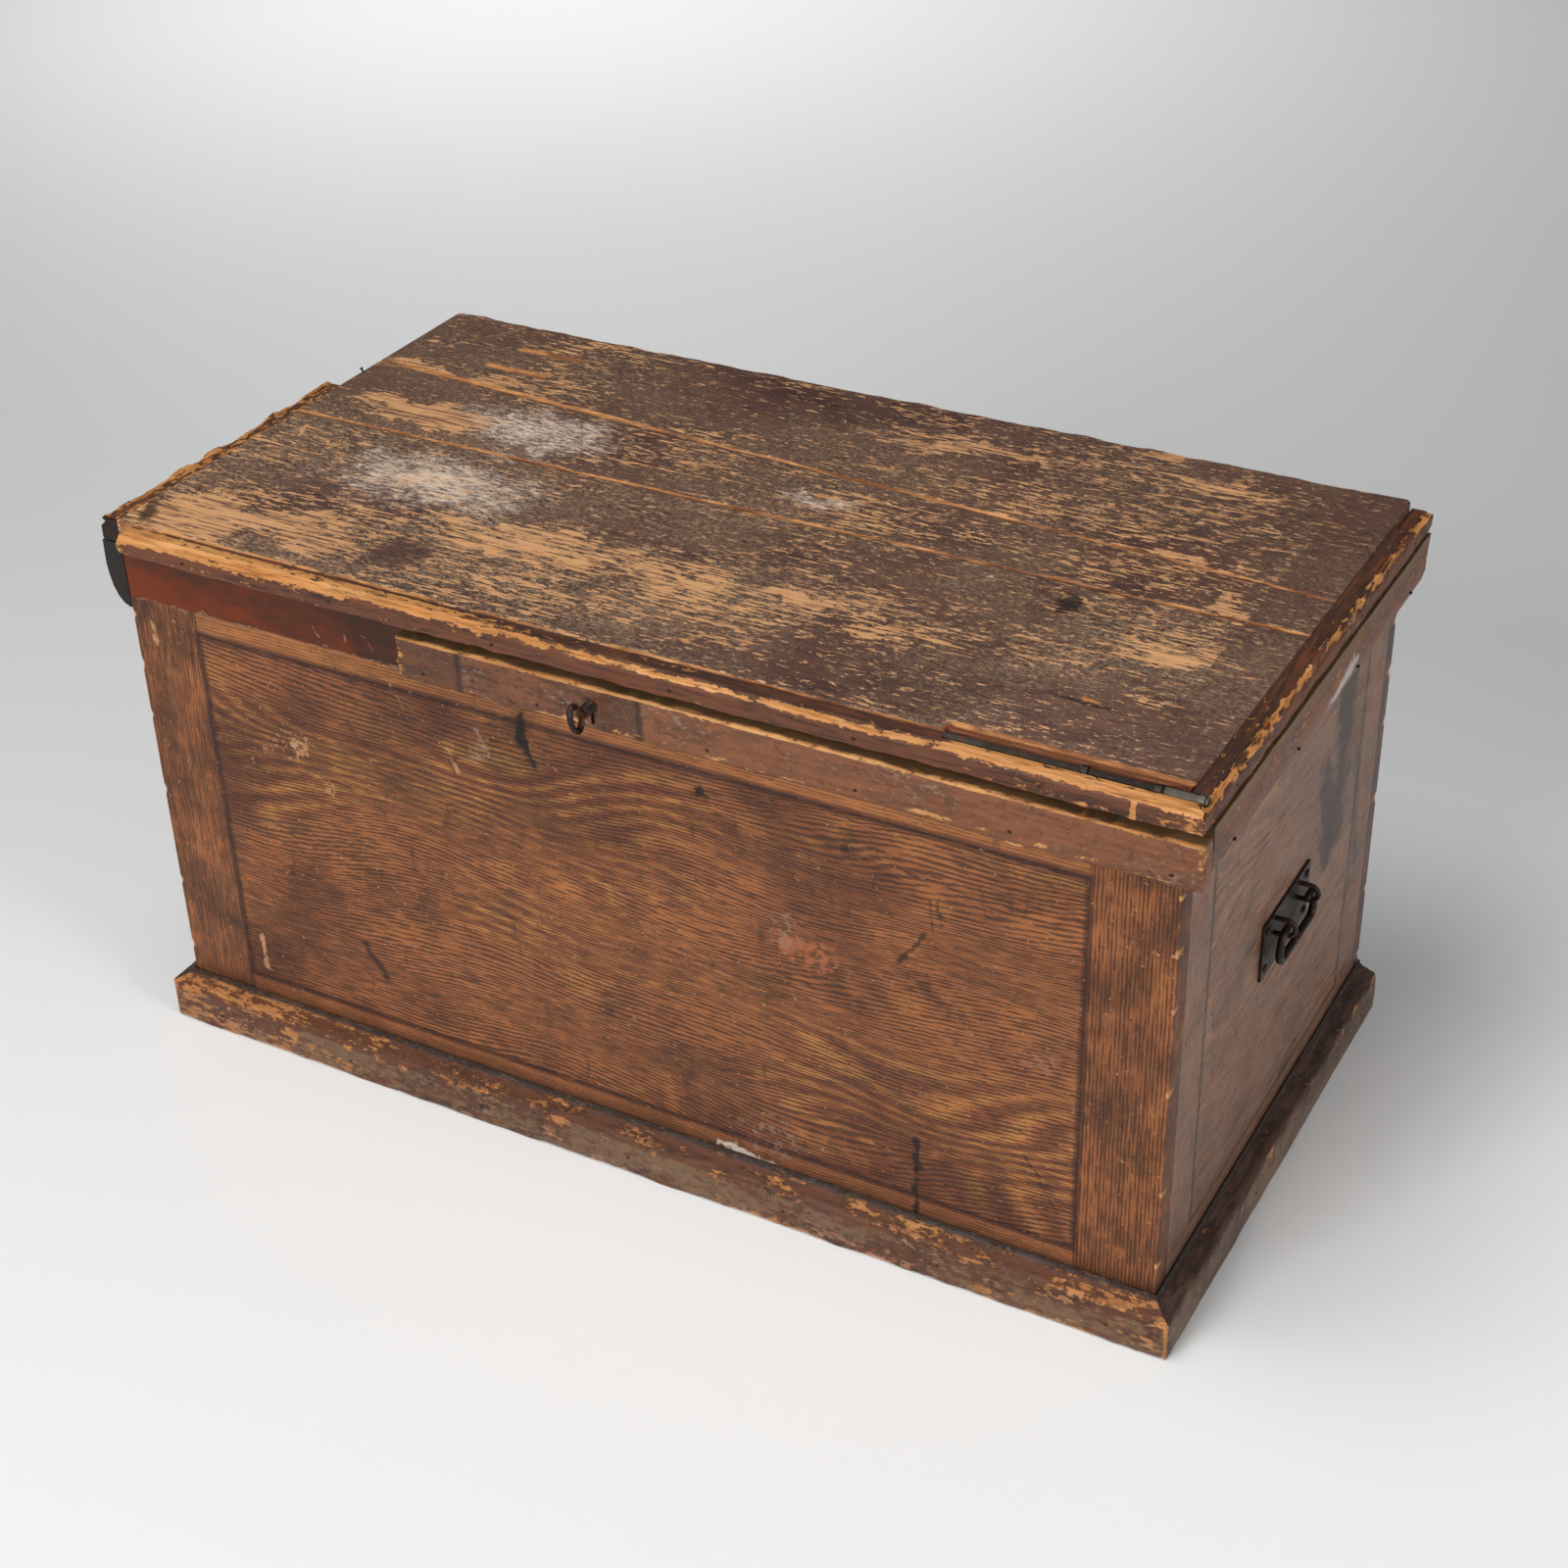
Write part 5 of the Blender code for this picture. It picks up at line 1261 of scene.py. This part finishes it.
def lipping_finish(name, along, seed, torn=None, black_end=0.0):
    """Brown streaky paint, dark on top, splintered to orange wood at the arris."""
    finish = Finish(name)
    wood, rings = pine(finish, along, seed)
    streaks = finish.noise(0.0035, drawn_out(along, 0.08), detail=5, rough=0.7, seed=seed + 1)
    patches = finish.noise(0.040, drawn_out(along, 0.4), detail=4, rough=0.65, seed=seed + 2)
    flakes = finish.noise(0.0050, drawn_out(along, 0.45), detail=5, rough=0.75, seed=seed + 3)
    wood = finish.blend(wood, LIPPING_ORANGE, patches.rise(0.35, 0.60) * 0.8)
    wood = finish.blend(wood, LIPPING_RED, streaks.rise(0.53, 0.68) * 0.7)
    paint = finish.blend(LIPPING_BROWN, LIPPING_DARK, (patches * 0.4 + streaks * 0.6).rise(0.44, 0.62))
    paint = finish.blend(paint, GRIME, flakes.rise(0.58, 0.70) * 0.6)
    top = lipping_top(finish)
    paint = finish.blend(paint, LIPPING_TOP, top * (patches * 0.5 + streaks * 0.5).rise(0.40, 0.54) * 0.85)
    loss = worn_depth(finish) + (flakes - 0.5) * 0.0080 + (streaks - 0.5) * 0.0030 + (patches - 0.5) * 0.0040
    if torn:
        loss = loss + torn(finish)
    bare = loss.rise(0.0011, 0.0015)
    colour = finish.blend(paint, wood, bare * 0.95)
    colour = finish.blend(colour, RUN_BLACK, (finish.y - case_low.y).rise(0.004, 0.002) * black_end)
    height = rings * 0.4 + streaks * 0.4 - bare * 0.3
    return finish.coat(colour, PLINTH_ROUGHNESS, height, MOULDING_RELIEF, LID_GLOSS)


def lipping_wear(piece, along, low, high, face, side, contrast, cover):
    """Sinks the top a little, then breaks the arris of the outer face away in splinters."""
    across = 1 - along
    score(piece, AXES[across], [side * (face - band) for band in LIPPING_BANDS])
    score(piece, AXES[2], [lipping_high.z - cut for cut in LIPPING_CUTS])
    score(piece, AXES[along], steps_between(low, high, LIPPING_STEP))
    pick(piece, lambda co: co.z > lipping_high.z - MERGE)
    bpy.ops.transform.translate(value=(0, 0, -LIPPING_SINK))
    bpy.ops.object.mode_set(mode="OBJECT")
    grain = drawn_out(along, 5)
    arris = lambda co, n: float(face - side * co[across] < ARRIS_WIDE and co.z > lipping_high.z - ARRIS_DEEP)
    foot = lambda co, n: float(co.z < lipping_low.z + LIPPING_FOOT_HIGH)
    wear_back(piece, LIPPING_CHIP, arris, patch=0.006, drawn=grain, contrast=contrast, cover=cover, turn=0.35)
    wear_back(piece, LIPPING_FOOT, foot, patch=0.005, drawn=grain, contrast=3.0, cover=0.7, turn=0.9)


def splintered(co, n):
    """The left of the front lipping's face has splintered off."""
    at_face = co.y < lipping_low.y + SPLINTER_WIDE and co.z > lipping_low.z + SPLINTER_FROM
    return float(at_face and co.x < SPLINTERED_TO)


lipping = rough_copy("lid_front_lipping", "front_lipping_worn")
score(lipping, AXES[2], [lipping_low.z + cut for cut in FACE_CUTS])
lipping_wear(lipping, 0, lipping_low.x, lipping_high.x, -lipping_low.y, -1, contrast=2.2, cover=1.1)
wear_back(lipping, SPLINTER, splintered, patch=0.010, drawn=(5, 1, 1), contrast=1.2, turn=0.6)
for height, side in ((lipping_high.z - LIPPING_SINK, 1), (lipping_low.z, -1)):
    knock_round(lipping, (0, 2), (lipping_low.x, height), (-1, side), LIPPING_END_ROUND)


def torn_face(finish):
    """The face is torn at both ends and in a line down it near the right one."""
    right = finish.x.rise(0.425, 0.455) * 0.0012
    left = finish.x.rise(-0.30, -0.44) * 0.0008
    split = abs(finish.x - 0.4185).rise(0.003, 0.001) * 0.0022
    top = lipping_top(finish)
    top = top * finish.y.rise(lipping_high.y - 0.002, lipping_high.y - 0.004)
    top = top * (finish.x.rise(0.00, -0.16) * 0.0018 + finish.x.rise(0.26, 0.30) * 0.0020)
    return right + left + split + top


lipping_paint = lipping_finish("front_lipping_paint", 0, 80, torn_face)
fit_up(lipping, lipping_paint, "lid", "moulding_paint", "lid_front_lipping")
for side, sign in SIDES.items():
    end_lipping = rough_copy(f"lid_{side}_lipping", side + "_lipping_worn")
    low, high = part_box(f"lid_{side}_lipping")
    face = max(high.x, -low.x)
    lipping_wear(end_lipping, 1, low.y, high.y, face, sign, contrast=4.0, cover=0.85)
    torn = (lambda finish: LEFT_TORN) if side == "left" else None
    black_end = BLACK_ENDS["left"] if side == "left" else 0.0
    lipping_paint = lipping_finish(side + "_lipping_paint", 1, 84 + sign, torn, black_end)
    fit_up(end_lipping, lipping_paint, "lid", "moulding_paint", f"lid_{side}_lipping")


# Edge rod
# Iron rod let into the lid's front edge as a repair, upset at its right end.
# Three flat strap staples driven over it hold it down.
ROD_PROUD = 0.0034
ROD_BRIGHT_FROM = 0.434
rod_iron = old_iron("edge_rod_iron", rusty=0.4, grey=0.4, bright_from=ROD_BRIGHT_FROM)
for name in ("lid_edge_rod", "lid_edge_clip_1", "lid_edge_clip_2", "lid_edge_clip_3"):
    piece = rough_copy(name, name + "_set")
    pick(piece)
    bpy.ops.transform.translate(value=(0, 0, ROD_PROUD))
    bpy.ops.object.mode_set(mode="OBJECT")
    fit_up(piece, rod_iron, "lid", "black_iron", name)


# Battens
# Two pine battens across the underside hold the planks together.
# Planed, chamfered at both ends and screwed up from below.
for side in SIDES:
    dress(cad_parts["lid_batten_" + side], bare_board(side + "_batten_pine", 1, seed=70))


# Hinges
# Strap hinges of sheet iron: a leaf let into the back board's top edge, a strap under the lid.
# The barrels of both are rolled round one pin, and slotted screws hold them.
hinge_iron = old_iron("hinge_iron", rusty=0.5)
for side in SIDES:
    for part in ("leaf", "strap", "pin"):
        dress(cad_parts[f"{side}_hinge_{part}"], hinge_iron)


# Nails
# Cut nails with small oblong heads hold the lipping, the strips, the plinth and the walls.
# Driven flush and painted over, their heads now show black through the paint.
NAIL_HEAD = 0.0017
NAIL_NARROW = 0.72
NAIL_CROWN = 0.45
NAIL_CROWN_RISE = 0.6
NAIL_NECK = 0.35
NAIL_THICK = 0.0012
NAIL_PROUD = 0.0003
NAIL_SHANK = 0.012
LIPPING_NAILS_Z = 0.4690
STRIP_NAILS_Z = 0.4265
PLINTH_NAILS_Z = 0.0165
LIPPING_NAILS_X = (-0.372, -0.231, -0.083, 0.068, 0.214, 0.352)
STRIP_NAILS_X = (-0.150, -0.048, 0.096, 0.214, 0.331, 0.447)
PLINTH_NAILS_X = (-0.412, -0.273, -0.139, 0.004, 0.146, 0.281, 0.419)
END_NAILS_Y = (-0.190, -0.062, 0.068, 0.196)
BACK_NAILS_X = 0.440
BACK_NAILS_Z = (0.048, 0.121, 0.203, 0.287, 0.366, 0.438)
PLINTH_NAILS_SUNK = 0.0004
SPRUNG_NAIL = (-0.4490, 0.0886, 0.4862)
SPRUNG_LEAN = (-0.6, 0, 1)

bpy.ops.object.select_all(action="DESELECT")
bpy.ops.mesh.primitive_cylinder_add(
    vertices=12, radius=NAIL_HEAD, depth=NAIL_THICK, location=(0, 0, NAIL_PROUD - NAIL_THICK / 2),
)
nail = set_down("nail")
pick(nail)
bpy.ops.transform.resize(value=(1, NAIL_NARROW, 1), center_override=(0, 0, 0))
pick(nail, lambda co: co.z > 0)
bpy.ops.mesh.inset(thickness=NAIL_HEAD * NAIL_CROWN)
bpy.ops.transform.translate(value=(0, 0, NAIL_PROUD * NAIL_CROWN_RISE))
pick(nail, lambda co: co.z < NAIL_PROUD - NAIL_THICK + MERGE)
bpy.ops.mesh.inset(thickness=NAIL_HEAD * NAIL_NECK)
bpy.ops.mesh.extrude_region_move(TRANSFORM_OT_translate={"value": (0, 0, -NAIL_SHANK)})
bpy.ops.object.mode_set(mode="OBJECT")


def drive(model, name, material, body, facing, places, nodes=()):
    """Sets a row of copies of one fastener, heads to the facing side, as one piece."""
    turn = Vector(facing).to_track_quat("Z", "Y").to_matrix().to_4x4()
    row = []
    for place in places:
        mesh = model.data.copy()
        mesh.transform(Matrix.Translation(place) @ turn)
        row.append(bpy.data.objects.new(name, mesh))
        bpy.context.scene.collection.objects.link(row[-1])
    take_up(row[0])
    for copy in row:
        copy.select_set(True)
    if len(row) > 1:
        bpy.ops.object.join()
    fit_up(row[0], material, body, "black_iron", *nodes)


nail_iron = old_iron("nail_iron", rusty=0.6)
foot_front = plinth_low.y + PLINTH_NAILS_SUNK
foot_end = plinth_high.x - PLINTH_NAILS_SUNK
for name, body, face, height, places in (
    ("lipping", "lid", lipping_low.y, LIPPING_NAILS_Z, LIPPING_NAILS_X),
    ("strip", "case", strip_low.y, STRIP_NAILS_Z, STRIP_NAILS_X),
    ("plinth", "case", foot_front, PLINTH_NAILS_Z, PLINTH_NAILS_X),
):
    row = [(x, face, height) for x in places]
    drive(nail, f"front_{name}_nails", nail_iron, body, (0, -1, 0), row)
for side, sign in SIDES.items():
    lipping_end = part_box("lid_left_lipping")[1].y if side == "left" else lid_high.y
    for name, body, face, height, end in (
        ("lipping", "lid", lipping_high.x, LIPPING_NAILS_Z, lipping_end),
        ("strip", "case", strip_high.x, STRIP_NAILS_Z, lid_high.y),
        ("plinth", "case", foot_end, PLINTH_NAILS_Z, lid_high.y),
    ):
        row = [(sign * face, y, height) for y in END_NAILS_Y if y < end]
        drive(nail, f"{side}_{name}_nails", nail_iron, body, (sign, 0, 0), row)
    row = [(sign * BACK_NAILS_X, back_high.y, z) for z in BACK_NAILS_Z]
    drive(nail, side + "_back_nails", nail_iron, "case", (0, 1, 0), row)
drive(nail, "sprung_lid_nail", nail_iron, "lid", SPRUNG_LEAN, [SPRUNG_NAIL])
bpy.data.objects.remove(nail)


# Screws
# Slotted countersunk screws of steel hold the lock, the link plate, the hinges and the battens.
# Their heads lie flush, browned like the iron around them.
SCREW_HEAD = 0.0035
SCREW_CORE = 0.0018
SCREW_CONE = 0.0018
SCREW_LENGTH = 0.0103
SCREW_SLOT = 0.0005
SCREW_SLOT_DEPTH = 0.0007
SCREW_PROUD = 0.00012
LOCK_SCREWS_X = (-0.041, 0.041)
LOCK_SCREWS_Z = (0.408, 0.450)
LINK_SCREWS_X = (-0.0092, 0.0368)
LINK_SCREWS_Y = -0.21775
LEAF_SCREWS_X = (0.238, 0.260, 0.282)
LEAF_SCREWS_Y = 0.2235
STRAP_SCREWS_X = 0.260
STRAP_SCREWS_Y = (0.137, 0.168, 0.200)
BATTEN_SCREWS_X = 0.340
BATTEN_SCREWS_Y = (-0.155, -0.060, 0.050, 0.135)

bpy.ops.object.select_all(action="DESELECT")
bpy.ops.mesh.primitive_cylinder_add(
    vertices=24, radius=SCREW_HEAD, depth=SCREW_CONE, location=(0, 0, -SCREW_CONE / 2),
)
screw = set_down("screw")
pick(screw, lambda co: co.z < -SCREW_CONE / 2)
narrowing = SCREW_CORE / SCREW_HEAD
bpy.ops.transform.resize(value=(narrowing, narrowing, 1), center_override=(0, 0, -SCREW_CONE))
bpy.ops.mesh.extrude_region_move(TRANSFORM_OT_translate={"value": (0, 0, SCREW_CONE - SCREW_LENGTH)})
bpy.ops.object.mode_set(mode="OBJECT")
score(screw, AXES[0], (-SCREW_SLOT, SCREW_SLOT))
pick(screw, lambda co: abs(co.x) < SCREW_SLOT + MERGE and co.z > -MERGE)
bpy.ops.mesh.extrude_region_move(TRANSFORM_OT_translate={"value": (0, 0, -SCREW_SLOT_DEPTH)})
bpy.ops.object.mode_set(mode="OBJECT")

inside_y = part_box("lock_screw_1")[1].y
row = [(x, inside_y, z) for x in LOCK_SCREWS_X for z in LOCK_SCREWS_Z]
lock_nodes = [f"lock_screw_{number}" for number in range(1, 5)]
drive(screw, "lock_screws", bright_iron, "case", (0, 1, 0), row, lock_nodes)
row = [(x, LINK_SCREWS_Y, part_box("link_plate_screw_1")[0].z) for x in LINK_SCREWS_X]
link_nodes = ("link_plate_screw_1", "link_plate_screw_2")
drive(screw, "link_plate_screws", bright_iron, "lid", (0, 0, -1), row, link_nodes)
for side, sign in SIDES.items():
    row = [(sign * x, LEAF_SCREWS_Y, case_high.z + SCREW_PROUD) for x in LEAF_SCREWS_X]
    drive(screw, side + "_hinge_leaf_screws", hinge_iron, "case", (0, 0, 1), row)
    row = [(sign * STRAP_SCREWS_X, y, lid_low.z - SCREW_PROUD) for y in STRAP_SCREWS_Y]
    drive(screw, side + "_hinge_strap_screws", hinge_iron, "lid", (0, 0, -1), row)
    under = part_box("lid_batten_" + side)[0].z - SCREW_PROUD
    row = [(sign * BATTEN_SCREWS_X, y, under) for y in BATTEN_SCREWS_Y]
    drive(screw, side + "_batten_screws", bright_iron, "lid", (0, 0, -1), row)
bpy.data.objects.remove(screw)


# Studio
# A pale, plain floor in a pale room, seen by a camera held at shoulder height.
# One large soft lamp from the front, a little left, one above, a weak one at the right end
# and one behind that lights the floor at the back.
FLOOR_SIZE = 16.0
FLOOR_PALE = "e9e9e8"
CAMERA_PLACE = (0.92558, -1.60078, 1.39712)
CAMERA_AZIMUTH = math.radians(29.5975)
CAMERA_ELEVATION = math.radians(32.265)
CAMERA_ROLL = math.radians(-1.6785)
CAMERA_LENS = 60.14
CAMERA_SENSOR = 36.0
FLOOR_ROUGHNESS = 0.6
ROOM_PALE = "e6e9ec"
ROOM_STRENGTH = 0.16
LAMPS = (
    ("key_light", (-0.5, -3.4, 2.0), (0, -0.1, 0.2), 1.6, 95, 180),
    ("side_light", (2.5, -0.7, 1.1), (0.45, 0, 0.25), 1.0, 7, 80),
    ("top_light", (-0.5, -0.7, 3.0), (-0.2, -0.1, 0.3), 1.4, 41, 180),
    ("back_light", (-2.4, 2.4, 2.6), (-1.8, 3.4, 0.0), 2.0, 34, 110),
)

bpy.ops.object.select_all(action="DESELECT")
bpy.ops.mesh.primitive_plane_add(size=FLOOR_SIZE)
floor = bpy.context.object
floor.name = "studio_floor"
floor_finish = Finish("pale_floor")
dress(floor, floor_finish.coat(FLOOR_PALE, FLOOR_ROUGHNESS))

for name, place, aim, size, power, spread in LAMPS:
    lamp = bpy.data.lights.new(name, "AREA")
    lamp.size = size
    lamp.energy = power
    lamp.spread = math.radians(spread)
    soft_box = bpy.data.objects.new(name, lamp)
    soft_box.location = place
    soft_box.rotation_euler = (Vector(aim) - Vector(place)).to_track_quat("-Z", "Y").to_euler()
    bpy.context.scene.collection.objects.link(soft_box)

world = bpy.data.worlds.new("pale_room")
world.use_nodes = True
room = world.node_tree.nodes["Background"]
room.inputs["Color"].default_value = tint(ROOM_PALE)
room.inputs["Strength"].default_value = ROOM_STRENGTH
bpy.context.scene.world = world

backward = Vector((math.sin(CAMERA_AZIMUTH), -math.cos(CAMERA_AZIMUTH), 0)) * math.cos(CAMERA_ELEVATION)
backward.z = math.sin(CAMERA_ELEVATION)
level = Vector((0, 0, 1)).cross(backward).normalized()
upward = backward.cross(level)
right = math.cos(CAMERA_ROLL) * level + math.sin(CAMERA_ROLL) * upward
up = math.cos(CAMERA_ROLL) * upward - math.sin(CAMERA_ROLL) * level
lens = bpy.data.cameras.new("picture_camera")
lens.lens = CAMERA_LENS
lens.sensor_width = CAMERA_SENSOR
camera = bpy.data.objects.new("picture_camera", lens)
turn = Matrix((right, up, backward)).transposed().to_4x4()
camera.matrix_world = Matrix.Translation(CAMERA_PLACE) @ turn
bpy.context.scene.collection.objects.link(camera)
bpy.context.scene.camera = camera
bpy.context.scene.view_settings.view_transform = "Standard"
